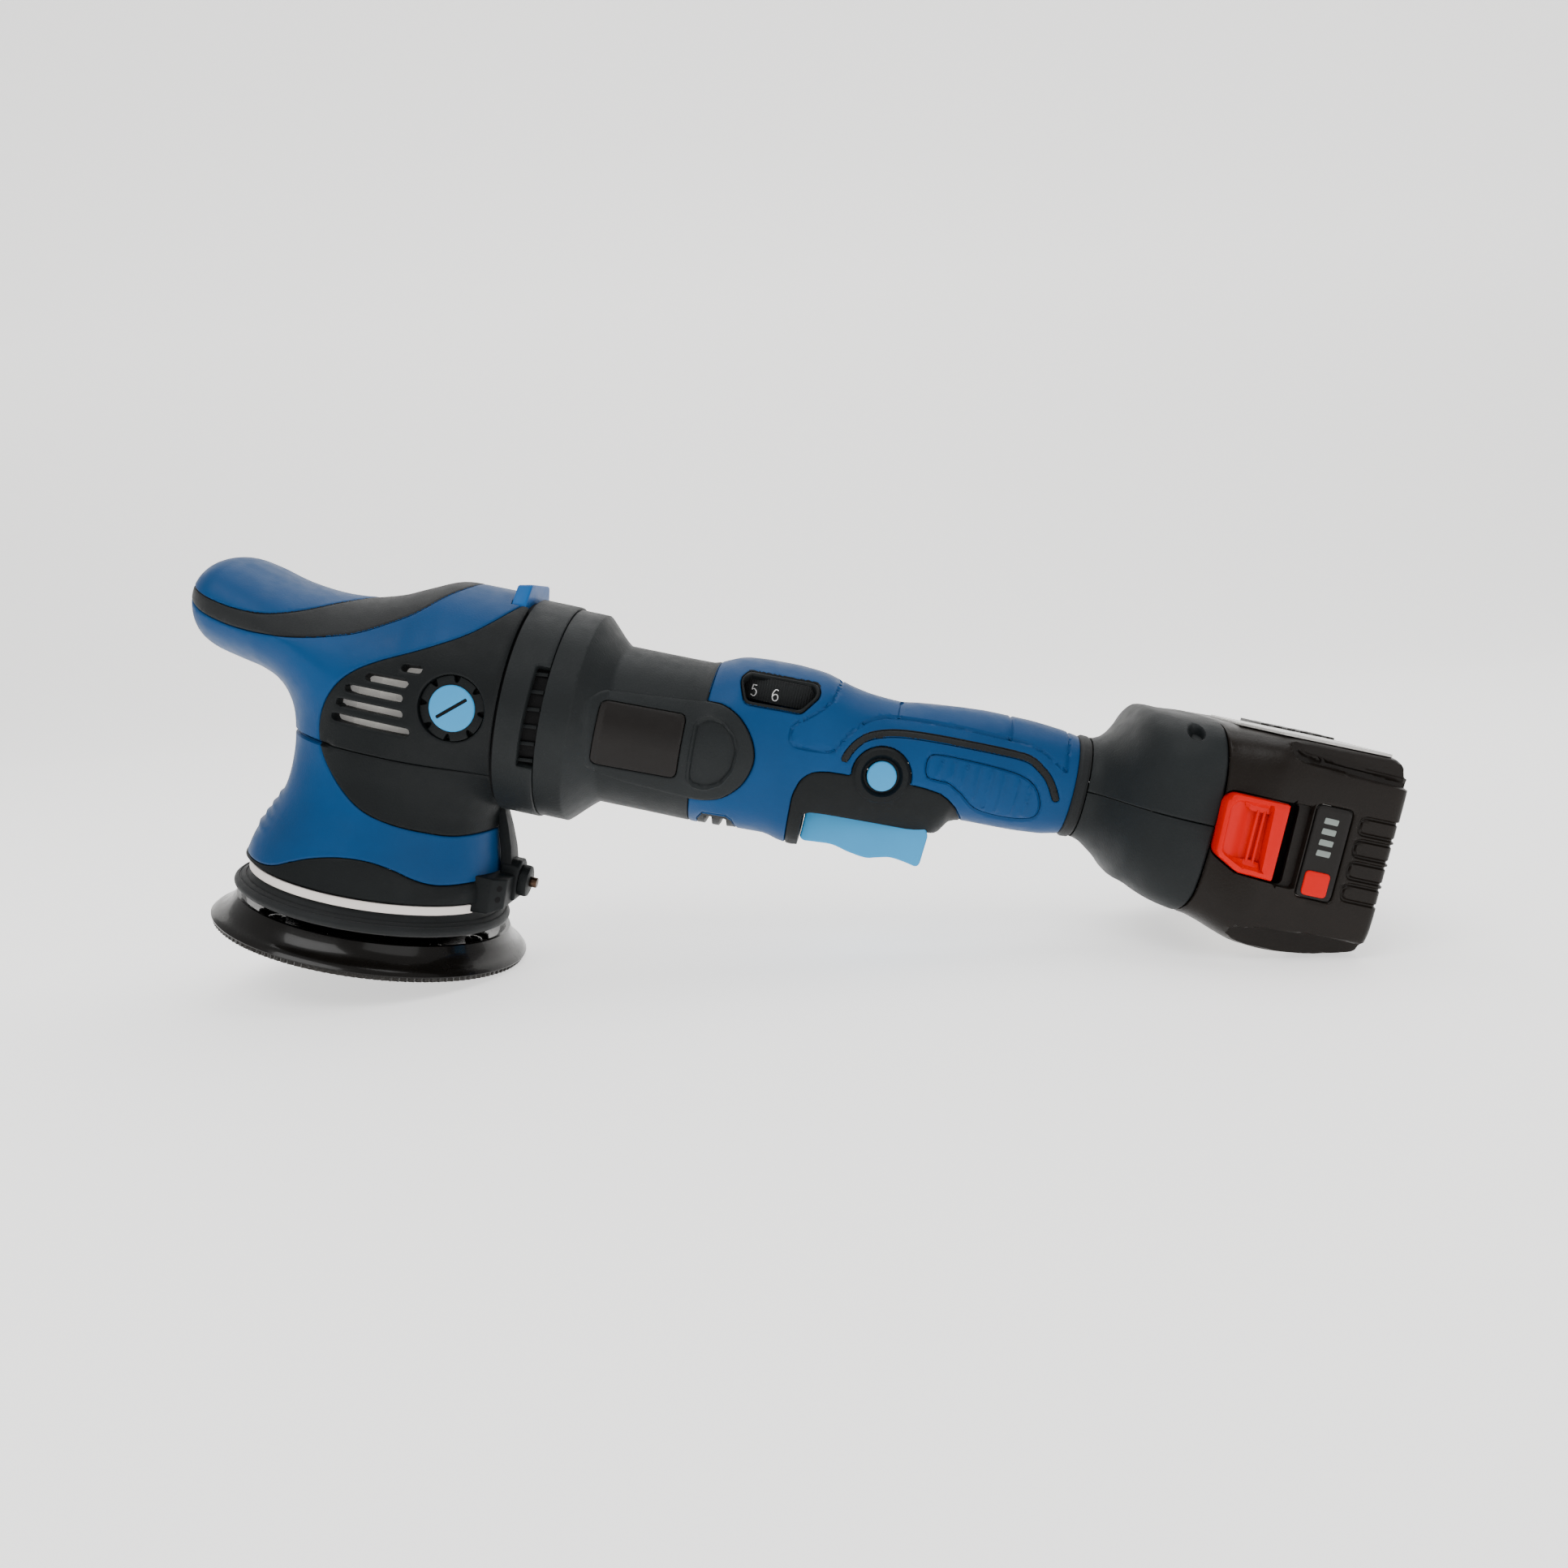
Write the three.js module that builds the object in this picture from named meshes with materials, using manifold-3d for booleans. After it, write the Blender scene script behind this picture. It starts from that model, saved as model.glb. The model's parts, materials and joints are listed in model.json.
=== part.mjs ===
// Cordless dual action polisher with a slide-on battery pack, in millimetres.
// The tool is drawn in its own frame: x runs along the body from the nose (-x) to the battery (+x),
// z runs up the spindle and y = 0 is the middle plane. The last section leans it back to its resting pose.
import * as THREE from 'three';
import { mergeVertices } from 'three/addons/utils/BufferGeometryUtils.js';
import Module from 'manifold-3d';

const wasm = await Module();
wasm.setup();

// ---------------------------------------------------------------- driving dimensions
const GAP = 0.3;                  // clearance between two pieces that meet
const SKIN = 2.4;                 // thickness of the covers laid into the casings
const POCKET = 3.3;               // depth of the recess that a cover lies in
const WALL = 3.6;                 // casing wall

const PLATE_RADIUS = 62.5;        // 125 mm backing plate
const ORBIT = 7.5;                // eccentricity, half of the 15 mm orbit
const ORBIT_ANGLE = 98;           // where the plate stands round the spindle at rest, degrees
const ORBIT_X = ORBIT * Math.cos(THREE.MathUtils.degToRad(ORBIT_ANGLE));
const ORBIT_Y = ORBIT * Math.sin(THREE.MathUtils.degToRad(ORBIT_ANGLE));

const BARREL_Z = 107.3;           // height of the motor axis
const BARREL_RADIUS = 31.8;
const FLARE_RADIUS = 41.5;
const COLLAR_RADIUS = 42.3;
const COLLAR_FRONT = 46.6;
const COLLAR_REAR = 63.1;
const BARREL_REAR = 118;

const HEAD_SEAM_Z = 81;           // upper and lower head casings meet here
const SHROUD_TOP_Z = 29.5;
const SHROUD_RADIUS = 54;
const BAND_RADIUS = 49.2;

const HANDLE_REAR = 262.5;
const FOOT_FRONT = 266.6;
const FOOT_REAR = 306;
const FOOT_SEAM_Z = 121.3;

const BATTERY_FRONT = 308.3;
const BATTERY_REAR = 368.2;
const BATTERY_HALF_WIDTH = 56.5;
const BATTERY_LOW = 85;
const BATTERY_HIGH = 158.3;

const PINION_TEETH = 8;
const RING_TEETH = 28;
const MESH_X = 24.5;              // outer end of the tooth mesh, measured from the spindle
const PINION_PITCH = 7;           // pitch radius of the pinion there

const RING_POINTS = 14;           // points round a lofted section

// ---------------------------------------------------------------- materials
function finish(color, roughness, metalness = 0) {
  return new THREE.MeshStandardMaterial({ color, roughness, metalness });
}

const blue = finish(0x2c5f88, 0.45);
const lightBlue = finish(0x6fb2cc, 0.4);
const black = finish(0x2b2f31, 0.55);
const softBlack = finish(0x222527, 0.8);
const graphite = finish(0x3a3432, 0.5);
const red = finish(0xe33a2c, 0.4);
const white = finish(0xe9e2da, 0.5);
const aluminium = finish(0xb9b4aa, 0.45, 0.9);
const steel = finish(0x8d9196, 0.3, 1);
const copper = finish(0x8a5a44, 0.4, 0.8);
const green = finish(0x2d6a45, 0.6);

// ---------------------------------------------------------------- solids
function solid(geometry) {
  const bare = geometry.clone();
  bare.deleteAttribute('normal');
  bare.deleteAttribute('uv');
  const merged = mergeVertices(bare, 1e-4);
  return new wasm.Manifold(new wasm.Mesh({
    numProp: 3,
    vertProperties: new Float32Array(merged.attributes.position.array),
    triVerts: new Uint32Array(merged.index.array),
  }));
}

function geometryOf(body) {
  const mesh = body.getMesh();
  const geometry = new THREE.BufferGeometry();
  geometry.setAttribute('position', new THREE.BufferAttribute(mesh.vertProperties, mesh.numProp));
  geometry.setIndex(new THREE.BufferAttribute(mesh.triVerts, 1));
  geometry.computeVertexNormals();
  return geometry;
}

function union(...bodies) {
  return bodies.reduce((whole, body) => whole.add(body));
}

function cut(body, ...tools) {
  return tools.reduce((rest, tool) => rest.subtract(tool), body);
}

// A box given by its low and high corners.
function block(x0, y0, z0, x1, y1, z1) {
  const geometry = new THREE.BoxGeometry(x1 - x0, y1 - y0, z1 - z0);
  geometry.translate((x0 + x1) / 2, (y0 + y1) / 2, (z0 + z1) / 2);
  return solid(geometry);
}

// A round rod from one point towards another.
function rod(radius, from, to, segments = 16) {
  const start = new THREE.Vector3(...from);
  const end = new THREE.Vector3(...to);
  const axis = end.clone().sub(start);
  const geometry = new THREE.CylinderGeometry(radius, radius, axis.length(), segments);
  const turn = new THREE.Quaternion().setFromUnitVectors(new THREE.Vector3(0, 1, 0), axis.normalize());
  geometry.applyQuaternion(turn);
  geometry.translate(...start.add(end).multiplyScalar(0.5).toArray());
  return solid(geometry);
}

// A profile of [radius, height] pairs turned about the z axis.
function turned(profile, segments = 24) {
  const points = profile.map(([radius, height]) => new THREE.Vector2(radius, height));
  const geometry = new THREE.LatheGeometry(points, segments);
  geometry.rotateX(Math.PI / 2);
  return solid(geometry);
}

// The same about the motor axis, with heights counted along x.
function turnedAlongBody(profile, segments = 24) {
  const points = profile.map(([radius, height]) => new THREE.Vector2(radius, height));
  const geometry = new THREE.LatheGeometry(points, segments);
  geometry.rotateZ(-Math.PI / 2);
  geometry.translate(0, 0, BARREL_Z);
  return solid(geometry);
}

// An outline of [x, z] pairs pushed straight through from y0 to y1.
function prism(outline, y0, y1) {
  const shape = new THREE.Shape(outline.map(([x, z]) => new THREE.Vector2(x, z)));
  const geometry = new THREE.ExtrudeGeometry(shape, { depth: y1 - y0, bevelEnabled: false });
  geometry.rotateX(Math.PI / 2);
  geometry.translate(0, y1, 0);
  return solid(geometry);
}

// A smooth open curve through a few [x, z] pairs.
function smooth(points, steps = 9) {
  const curve = new THREE.SplineCurve(points.map(([x, z]) => new THREE.Vector2(x, z)));
  return curve.getPoints(steps).map((point) => [point.x, point.y]);
}

// Points on an arc in the x-z plane, angles in degrees.
function arc(x, z, radius, from, to, steps) {
  const points = [];
  for (let i = 0; i <= steps; i += 1) {
    const angle = THREE.MathUtils.degToRad(from + (to - from) * i / steps);
    points.push([x + radius * Math.cos(angle), z + radius * Math.sin(angle)]);
  }
  return points;
}

// Moves an outline outwards (or inwards, when distance is negative) along its corner normals.
function widened(outline, distance) {
  const count = outline.length;
  const shoelace = outline.reduce((sum, [x, z], i) => {
    const [nextX, nextZ] = outline[(i + 1) % count];
    return sum + x * nextZ - nextX * z;
  }, 0);
  const side = Math.sign(shoelace);
  return outline.map(([x, z], i) => {
    const [x0, z0] = outline[(i + count - 1) % count];
    const [x1, z1] = outline[(i + 1) % count];
    const before = new THREE.Vector2(z - z0, x0 - x).normalize();
    const after = new THREE.Vector2(z1 - z, x - x1).normalize();
    const normal = before.add(after).normalize();
    return [x + side * distance * normal.x, z + side * distance * normal.y];
  });
}

// A closed body through rings of points, each ring a list of [x, y, z].
function loft(rings) {
  const count = rings[0].length;
  const positions = rings.flat(2);
  const index = [];
  for (let r = 0; r + 1 < rings.length; r += 1) {
    for (let i = 0; i < count; i += 1) {
      const a = r * count + i;
      const b = r * count + (i + 1) % count;
      index.push(a, b, a + count, b, b + count, a + count);
    }
  }
  const last = (rings.length - 1) * count;
  for (let i = 1; i + 1 < count; i += 1) {
    index.push(0, i + 1, i, last, last + i, last + i + 1);
  }
  const geometry = new THREE.BufferGeometry();
  geometry.setAttribute('position', new THREE.Float32BufferAttribute(positions, 3));
  geometry.setIndex(index);
  return solid(geometry);
}

function rounded(value, power) {
  return Math.sign(value) * Math.abs(value) ** (2 / power);
}

// Stations along the body: { x, low, high, half, power } give a rounded section in the y-z plane.
function bodyLoft(stations, inset = 0) {
  return loft(stations.map(({ x, low, high, half, power = 2 }) => {
    const middle = (low + high) / 2;
    const ring = [];
    for (let i = 0; i < RING_POINTS; i += 1) {
      const angle = 2 * Math.PI * (i + 0.5) / RING_POINTS;
      const y = (half - inset) * rounded(Math.cos(angle), power);
      const z = middle + ((high - low) / 2 - inset) * rounded(Math.sin(angle), power);
      ring.push([x, y, z]);
    }
    return ring;
  }));
}

// Stations up the spindle: { z, front, rear, half } give an oval section in the x-y plane.
function neckLoft(stations, inset = 0) {
  return loft(stations.map(({ z, front, rear, half }) => {
    const middle = (front + rear) / 2;
    const ring = [];
    for (let i = 0; i < RING_POINTS; i += 1) {
      const angle = 2 * Math.PI * (i + 0.5) / RING_POINTS;
      const x = middle + ((rear - front) / 2 - inset) * rounded(Math.cos(angle), 2.2);
      const y = (half - inset) * Math.sin(angle);
      ring.push([x, y, z]);
    }
    return ring;
  }));
}

const WIDE = 100;                 // beyond every casing, for tools that cut right through

// The recess for a cover: everything inside its outline and outside the casing's inner layer.
const recess = (outline, underSkin) => cut(prism(widened(outline, GAP), -WIDE, WIDE), underSkin);
const leftSide = (outline) => prism(outline, -WIDE, -GAP / 2);
const rightSide = (outline) => prism(outline, GAP / 2, WIDE);

const tool = new THREE.Group();

// Cutting curved skins can leave hair-thin flakes: only the piece itself is kept.
function largest(body) {
  return body.decompose().reduce((best, piece) => (piece.volume() > best.volume() ? piece : best));
}

function add(name, body, material, parent = tool) {
  const mesh = new THREE.Mesh(geometryOf(largest(body)), material);
  mesh.name = name;
  parent.add(mesh);
  return mesh;
}

// ---------------------------------------------------------------- head casings
const headStations = [
  { x: -94.2, low: 119, high: 127, half: 9 },
  { x: -91, low: 112.5, high: 134.4, half: 20 },
  { x: -84, low: 107, high: 140, half: 27.4 },
  { x: -73, low: 103.2, high: 142.1, half: 32 },
  { x: -52, low: 98.5, high: 138.4, half: 35.5 },
  { x: -36, low: 84, high: 136.2, half: 37.4 },
  { x: -15, low: 76, high: 138, half: 39.5 },
  { x: 0, low: 72, high: 143.4, half: 40.5 },
  { x: 12, low: 68, high: 150.2, half: 41.8 },
  { x: COLLAR_FRONT - GAP, low: 64.6, high: 150.4, half: 43 },
];
const neckStations = [
  { z: SHROUD_TOP_Z, front: -52.4, rear: 50.5, half: 51 },
  { z: 40, front: -51.6, rear: 50, half: 50 },
  { z: 49, front: -47.6, rear: 48.6, half: 46.6 },
  { z: 60, front: -43.2, rear: 46.3, half: 42.6 },
  { z: 72, front: -42.6, rear: 46.3, half: 40.4 },
  { z: 107, front: -43.8, rear: 46.3, half: 39.6 },
];
const headOuter = union(bodyLoft(headStations), neckLoft(neckStations));
const headUnderSkin = union(bodyLoft(headStations, POCKET), neckLoft(neckStations, POCKET));
const headSkin = cut(
  union(bodyLoft(headStations), neckLoft(neckStations)),
  union(bodyLoft(headStations, SKIN), neckLoft(neckStations, SKIN)),
);

// The rubber strip round the nose and over the top of the head, seen from the side.
const gripUpperEdge = smooth([
  [-100, 130], [-85, 128.3], [-67, 125.3], [-54, 125], [-36, 129.2], [-17.8, 137.5], [-9, 142],
]);
const gripLowerEdge = smooth([
  [24, 153], [14.9, 144.1], [-3.2, 129.8], [-22.6, 122.2], [-48, 118], [-74.4, 120.2], [-100, 125],
]);
const gripOutline = [...gripUpperEdge, [-9, 160], [24, 160], ...gripLowerEdge];
const topPadOutline = [...gripUpperEdge.slice(0, -1), [-11, 160], [-100, 160]];

// The side panel that carries the vents and the plug cap.
const panelOutline = smooth([
  [46.3, 149], [36, 138.4], [27.4, 131.2], [13.8, 123.5], [-0.1, 116.7], [-11, 109], [-18.9, 96.4],
  [-19.7, 82], [-17.9, HEAD_SEAM_Z + GAP],
], 12).concat([[46.3, HEAD_SEAM_Z + GAP]]);

const aboveSeam = block(-WIDE, -WIDE, HEAD_SEAM_Z + GAP / 2, 50, WIDE, 170);
const belowSeam = block(-WIDE, -WIDE, 0, 50, WIDE, HEAD_SEAM_Z - GAP / 2);

// Four vent slots, rising towards the rear, and a short one above them.
const VENT_HEIGHT = 2.9;
const ventSlots = [
  { x0: -13, x1: 14.5, z: 92.4 },
  { x0: -13, x1: 11.5, z: 98.3 },
  { x0: -10.5, x1: 11, z: 104 },
  { x0: -3.5, x1: 12, z: 110 },
  { x0: 8.5, x1: 16, z: 116 },
].map(({ x0, x1, z }) => {
  const end = VENT_HEIGHT / 2;
  return prism([...arc(x0 + end, z, end, 270, 90, 3), ...arc(x1 - end, z, end, 90, -90, 3)], -WIDE, WIDE);
});

const ventWindow = block(-16, -WIDE, 88, 18, WIDE, 120);

// Threaded seat for the side handle, closed by a coin-slot plug.
const PLUG_X = 30;
const PLUG_Z = 104.8;
const PLUG_RADIUS = 9;
const PLUG_SEAT_RADIUS = 12.6;
const PLUG_SEAT_Y = 37.4;
const plugSeat = union(
  rod(PLUG_SEAT_RADIUS, [PLUG_X, -WIDE, PLUG_Z], [PLUG_X, -PLUG_SEAT_Y - 2, PLUG_Z]),
  rod(PLUG_SEAT_RADIUS, [PLUG_X, WIDE, PLUG_Z], [PLUG_X, PLUG_SEAT_Y + 2, PLUG_Z]),
  rod(PLUG_RADIUS + GAP, [PLUG_X, -WIDE, PLUG_Z], [PLUG_X, WIDE, PLUG_Z]),
);

// Room for the gear case and for the turning counterweight.
const CASE_RADIUS = 33.2;
const caseRoom = union(
  turned([
    [0, 20], [CASE_RADIUS + GAP, 20], [CASE_RADIUS + GAP, 119.3], [16, 119.3], [16, 128.3], [0, 128.3],
  ]),
  turnedAlongBody([[0, 0], [CASE_RADIUS + GAP, 0], [CASE_RADIUS + GAP, 50], [0, 50]]),
);
const counterweightRoom = turned([[0, 20], [44.5, 20], [44.5, 38], [38, 60], [38, 64], [0, 64]]);

// Spindle lock tab on the top of the head.
const LOCK_X0 = 37.8;
const LOCK_X1 = 45;
const LOCK_HALF = 15;
const lockRoom = block(LOCK_X0 - GAP, -LOCK_HALF - GAP, 136, 60, LOCK_HALF + GAP, 160);

const panels = cut(headSkin.intersect(aboveSeam), ...ventSlots, plugSeat, lockRoom);
const leftPanel = panels.intersect(leftSide(widened(panelOutline, -GAP)));
const rightPanel = panels.intersect(rightSide(widened(panelOutline, -GAP)));
const upperHead = cut(
  headOuter.intersect(aboveSeam),
  recess(gripOutline, headUnderSkin),
  recess(topPadOutline, headUnderSkin),
  recess(panelOutline, headUnderSkin),
  caseRoom,
  ventWindow,
  plugSeat,
  lockRoom,
);
add('upper_head_casing', upperHead, blue);
add('grip_strip', headSkin.intersect(prism(gripOutline, -WIDE, WIDE)), softBlack);
add('nose_pad', headSkin.intersect(prism(widened(topPadOutline, -GAP), -WIDE, WIDE)), blue);
add('left_side_panel', leftPanel, black);
add('right_side_panel', rightPanel, black);

// The lower casing ends in a dark skirt whose upper edge rises in a wave towards the rear.
const skirtEdge = smooth([
  [-60, 32.5], [-40, 32.6], [-26, 34], [-17, 38.4], [-6, 42.6], [8, 45], [20, 43.7], [32, 39.4], [60, 40],
], 12);
const skirtOutline = [...skirtEdge, [60, 20], [-60, 20]];
const lowerHead = cut(headOuter.intersect(belowSeam), caseRoom, counterweightRoom);
add('lower_head_casing', cut(lowerHead, prism(widened(skirtOutline, GAP / 2), -WIDE, WIDE)), blue);
add('skirt', lowerHead.intersect(prism(widened(skirtOutline, -GAP / 2), -WIDE, WIDE)), black);

// Plug caps with a coin slot, and the ring of locating teeth around each seat.
function plugCap(side) {
  const face = side * (PLUG_SEAT_Y + 3.6);
  const cap = rod(PLUG_RADIUS, [0, side * 34.6, 0], [0, face, 0], 28);
  const slot = block(-7.5, face - 1.6, -0.9, 7.5, face + 1.6, 0.9);
  return cut(cap, slot);
}
for (const [name, side] of [['left_plug_cap', -1], ['right_plug_cap', 1]]) {
  const cap = add(name, plugCap(side), lightBlue);
  cap.position.set(PLUG_X, 0, PLUG_Z);
  cap.rotation.y = THREE.MathUtils.degToRad(-41) * side * -1;
}

const lockTab = add('spindle_lock_tab', union(
  block(0, -LOCK_HALF, 0, LOCK_X1 - LOCK_X0, LOCK_HALF, 16),
  rod(2.4, [3.6, 0, -14], [3.6, 0, 2], 16),
), lightBlue);
lockTab.position.set(LOCK_X0, 0, 137.5);

// ---------------------------------------------------------------- gear case
const FRONT_BEARING_RADIUS = 12.4;
const GEAR_ROOM_RADIUS = 28.4;
const caseBody = union(
  turned([[0, 82.3], [CASE_RADIUS, 82.3], [CASE_RADIUS, 119], [15.7, 119], [15.7, 128], [0, 128]]),
  turnedAlongBody([[0, 6], [CASE_RADIUS, 6], [CASE_RADIUS, COLLAR_FRONT - 0.6], [0, COLLAR_FRONT - 0.6]])
    .intersect(block(0, -50, 82.3, 60, 50, 150)),
);
const lockChannel = block(LOCK_X0 - 1, -LOCK_HALF - 1, 134.5, 60, LOCK_HALF + 1, 160);
const gearRoom = union(
  turned([[0, 80], [GEAR_ROOM_RADIUS, 80], [GEAR_ROOM_RADIUS, 104], [13.3, 110], [13.3, 126.5], [0, 126.5]]),
  turnedAlongBody([
    [0, 4], [11, 4], [11, 35.6], [FRONT_BEARING_RADIUS + GAP, 35.6], [FRONT_BEARING_RADIUS + GAP, 50], [0, 50],
  ]),
);
const lockPinHole = rod(2.8, [LOCK_X0 + 3.6, 0, 110], [LOCK_X0 + 3.6, 0, 140], 16);
add('gear_case', cut(caseBody, gearRoom, lockPinHole, lockChannel), aluminium);

const LOWER_BEARING_RADIUS = 17.4;
add('bearing_plate', turned([
  [LOWER_BEARING_RADIUS + GAP, 66], [24, 66], [CASE_RADIUS, 76], [CASE_RADIUS, 82], [10.5, 82],
  [10.5, 79.6], [LOWER_BEARING_RADIUS + GAP, 79.6], [LOWER_BEARING_RADIUS + GAP, 66],
]), aluminium);

// ---------------------------------------------------------------- bevel drive
// Both gears taper towards the point where the spindle and motor axes cross.
const TOOTH_TIP = 1.2;
const TOOTH_ROOT = 1.7;
const FACE_INNER = 16.5;

function pinionRing(x) {
  const scale = x / MESH_X;
  const ring = [];
  for (let tooth = 0; tooth < PINION_TEETH; tooth += 1) {
    const centre = 2 * Math.PI * tooth / PINION_TEETH;
    for (const [radius, halfWidth] of [[PINION_PITCH - TOOTH_ROOT, -1.4], [PINION_PITCH + TOOTH_TIP, -0.7],
      [PINION_PITCH + TOOTH_TIP, 0.7], [PINION_PITCH - TOOTH_ROOT, 1.4]]) {
      const angle = centre + halfWidth / radius;
      ring.push([x, scale * radius * Math.sin(angle), BARREL_Z - scale * radius * Math.cos(angle)]);
    }
  }
  return ring;
}
const pinionTeeth = loft([pinionRing(FACE_INNER), pinionRing(MESH_X + 1.5)]);
const pinionHub = rod(5.2, [MESH_X, 0, BARREL_Z], [MESH_X + 4, 0, BARREL_Z], 20);
add('bevel_pinion', union(pinionTeeth, pinionHub), steel);

function ringTooth(angle) {
  const rings = [FACE_INNER, MESH_X + 1.5].map((radius) => {
    const scale = radius / MESH_X;
    const pitchZ = BARREL_Z - PINION_PITCH * scale;
    return [[-1.5, -TOOTH_ROOT - 1], [1.5, -TOOTH_ROOT - 1], [0.7, TOOTH_TIP], [-0.7, TOOTH_TIP]]
      .map(([y, z]) => [radius, scale * y, pitchZ + scale * z]);
  });
  const geometry = geometryOf(loft(rings));
  geometry.rotateZ(angle);
  return solid(geometry);
}
const RING_FLOOR = BARREL_Z - (PINION_PITCH + TOOTH_ROOT) * (MESH_X + 1.5) / MESH_X;
const RING_FLOOR_INNER = BARREL_Z - (PINION_PITCH + TOOTH_ROOT) * FACE_INNER / MESH_X;
let ringGear = turned([
  [8.4, 86], [26, 92.5], [26, RING_FLOOR], [FACE_INNER, RING_FLOOR_INNER],
  [8.4, RING_FLOOR_INNER], [8.4, 86],
], RING_TEETH);
for (let tooth = 0; tooth < RING_TEETH; tooth += 1) {
  ringGear = ringGear.add(ringTooth(2 * Math.PI * (tooth + 0.5) / RING_TEETH));
}
add('bevel_ring_gear', ringGear, steel);

add('spindle', turned([
  [0, 50.4], [8, 50.4], [8, 99.6], [6, 99.6], [6, 126], [0, 126],
], 20), steel);

function bearing(name, inner, outer, width, position, alongBody = false) {
  const profile = [[inner, 0], [outer, 0], [outer, width], [inner, width], [inner, 0]];
  const mesh = add(name, turned(profile, 20), steel);
  mesh.position.set(...position);
  mesh.rotation.y = alongBody ? Math.PI / 2 : 0;
}
bearing('upper_spindle_bearing', 6.3, 13, 6, [0, 0, 119]);
bearing('lower_spindle_bearing', 8.3, LOWER_BEARING_RADIUS, 9, [0, 0, 70]);

// ---------------------------------------------------------------- eccentric and backing plate
const PLATE_BEARING_RADIUS = 16;
const ECCENTRIC_FLOOR = 46.5;
const heavySide = new THREE.Shape();
heavySide.absarc(0, 0, 35, Math.PI + 0.35, 2 * Math.PI - 0.35, false);
heavySide.absarc(0, 0, 12, 2 * Math.PI - 0.35, Math.PI + 0.35, true);
const heavyGeometry = new THREE.ExtrudeGeometry(heavySide, {
  depth: 18, bevelEnabled: false, curveSegments: 9,
});
heavyGeometry.rotateZ(THREE.MathUtils.degToRad(ORBIT_ANGLE - 90));
heavyGeometry.translate(0, 0, 38);
add('counterweight', cut(
  union(
    rod(20, [ORBIT_X, ORBIT_Y, 32], [ORBIT_X, ORBIT_Y, 52]),
    rod(22, [0, 0, 48], [0, 0, 60]),
    solid(heavyGeometry),
  ),
  rod(PLATE_BEARING_RADIUS + GAP, [ORBIT_X, ORBIT_Y, 20], [ORBIT_X, ORBIT_Y, ECCENTRIC_FLOOR]),
  rod(8 + GAP, [0, 0, 50], [0, 0, 70]),
), steel);
bearing('plate_bearing', 8.3, PLATE_BEARING_RADIUS, 12, [ORBIT_X, ORBIT_Y, 33.5]);

const plate = new THREE.Group();
plate.position.set(ORBIT_X, ORBIT_Y, 0);
tool.add(plate);
const HOOK_THICKNESS = 2.2;
const PLATE_SEGMENTS = 32;
add('hook_layer', turned([
  [9.5, 0], [PLATE_RADIUS - 0.6, 0], [PLATE_RADIUS - 0.6, HOOK_THICKNESS], [9.5, HOOK_THICKNESS], [9.5, 0],
], PLATE_SEGMENTS), softBlack, plate);
add('backing_plate', turned([
  [9, HOOK_THICKNESS + GAP], [PLATE_RADIUS, HOOK_THICKNESS + GAP], [PLATE_RADIUS, 5], [58, 9.2], [55, 13.4],
  [54, 15.4], [52.4, 15.4], [50.4, 10.8], [32, 12.4], [22, 19.6], [4.4, 19.6], [4.4, 12], [9, 12], [9, HOOK_THICKNESS + GAP],
], PLATE_SEGMENTS), softBlack, plate);
add('plate_hub', turned([
  [0, 30], [4.4, 30], [4.4, 20], [14, 20], [14, 25], [10, 33], [8, 33], [8, ECCENTRIC_FLOOR - 0.6],
  [0, ECCENTRIC_FLOOR - 0.6],
], 20), steel, plate);
add('plate_screw', turned([
  [0, 6.5], [2, 6.5], [3.4, 8.5], [3.4, 6], [7.4, 6], [7.4, 11.6], [4, 11.6], [4, 29], [0, 29],
], 12), steel, plate);

// ---------------------------------------------------------------- shroud ring and its clamp
const SHROUD_BORE = 45;
const BAND_LOW = 24.7;
const BAND_HIGH = 28;
const BAND_SEAT = 48.4;
add('shroud_ring', turned([
  [SHROUD_BORE, 17.4], [51, 16.6], [SHROUD_RADIUS, 18.2], [SHROUD_RADIUS, 20.2],
  [BAND_SEAT, 23.6], [BAND_SEAT, 29.2], [SHROUD_BORE, 29.2], [SHROUD_BORE, 17.4],
], 30), softBlack);

// The band is an open ring whose ends stop short of the clamp block behind the head.
const BAND_END_ANGLE = 21;
function bandRing(radius) {
  return arc(0, 0, radius, BAND_END_ANGLE, 360 - BAND_END_ANGLE, 30).map(([x, y]) => new THREE.Vector2(x, y));
}
const bandShape = new THREE.Shape([...bandRing(BAND_RADIUS + 0.5), ...bandRing(BAND_SEAT + GAP).reverse()]);
const bandGeometry = new THREE.ExtrudeGeometry(bandShape, {
  depth: BAND_HIGH - BAND_LOW, bevelEnabled: false,
});
bandGeometry.translate(0, 0, BAND_LOW);
add('clamp_band', solid(bandGeometry), white);

const CLAMP_REAR = 59.5;
const CLAMP_HALF = 15;
const neckClear = union(
  turned([[0, 10], [52.2, 10], [52.2, 30], [0, 30]]),
  neckLoft(neckStations, -GAP),
);
const CLAMP_Z = 37;
const clampBlock = cut(
  block(42, -CLAMP_HALF, 24.2, CLAMP_REAR, CLAMP_HALF, 42.4),
  neckClear,
  rod(2.6, [40, 0, CLAMP_Z], [70, 0, CLAMP_Z], 20),
);
add('clamp_block', clampBlock, black);
add('clamp_strut', cut(
  prism([[53.4, 42.8], [58.6, 42.8], [57.6, 50], [53.4, 58], [52, 64], [46.8, 64], [48.4, 54]], -9, 9),
  neckLoft(neckStations, -GAP),
  turnedAlongBody([[0, 40], [COLLAR_RADIUS + GAP, 40], [COLLAR_RADIUS + GAP, 70], [0, 70]]),
), black);
const clampKnob = add('clamp_knob', union(
  rod(6.4, [0, 0, 0], [5, 0, 0], 24),
  rod(2.2, [-6, 0, 0], [1, 0, 0], 16),
), black);
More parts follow.
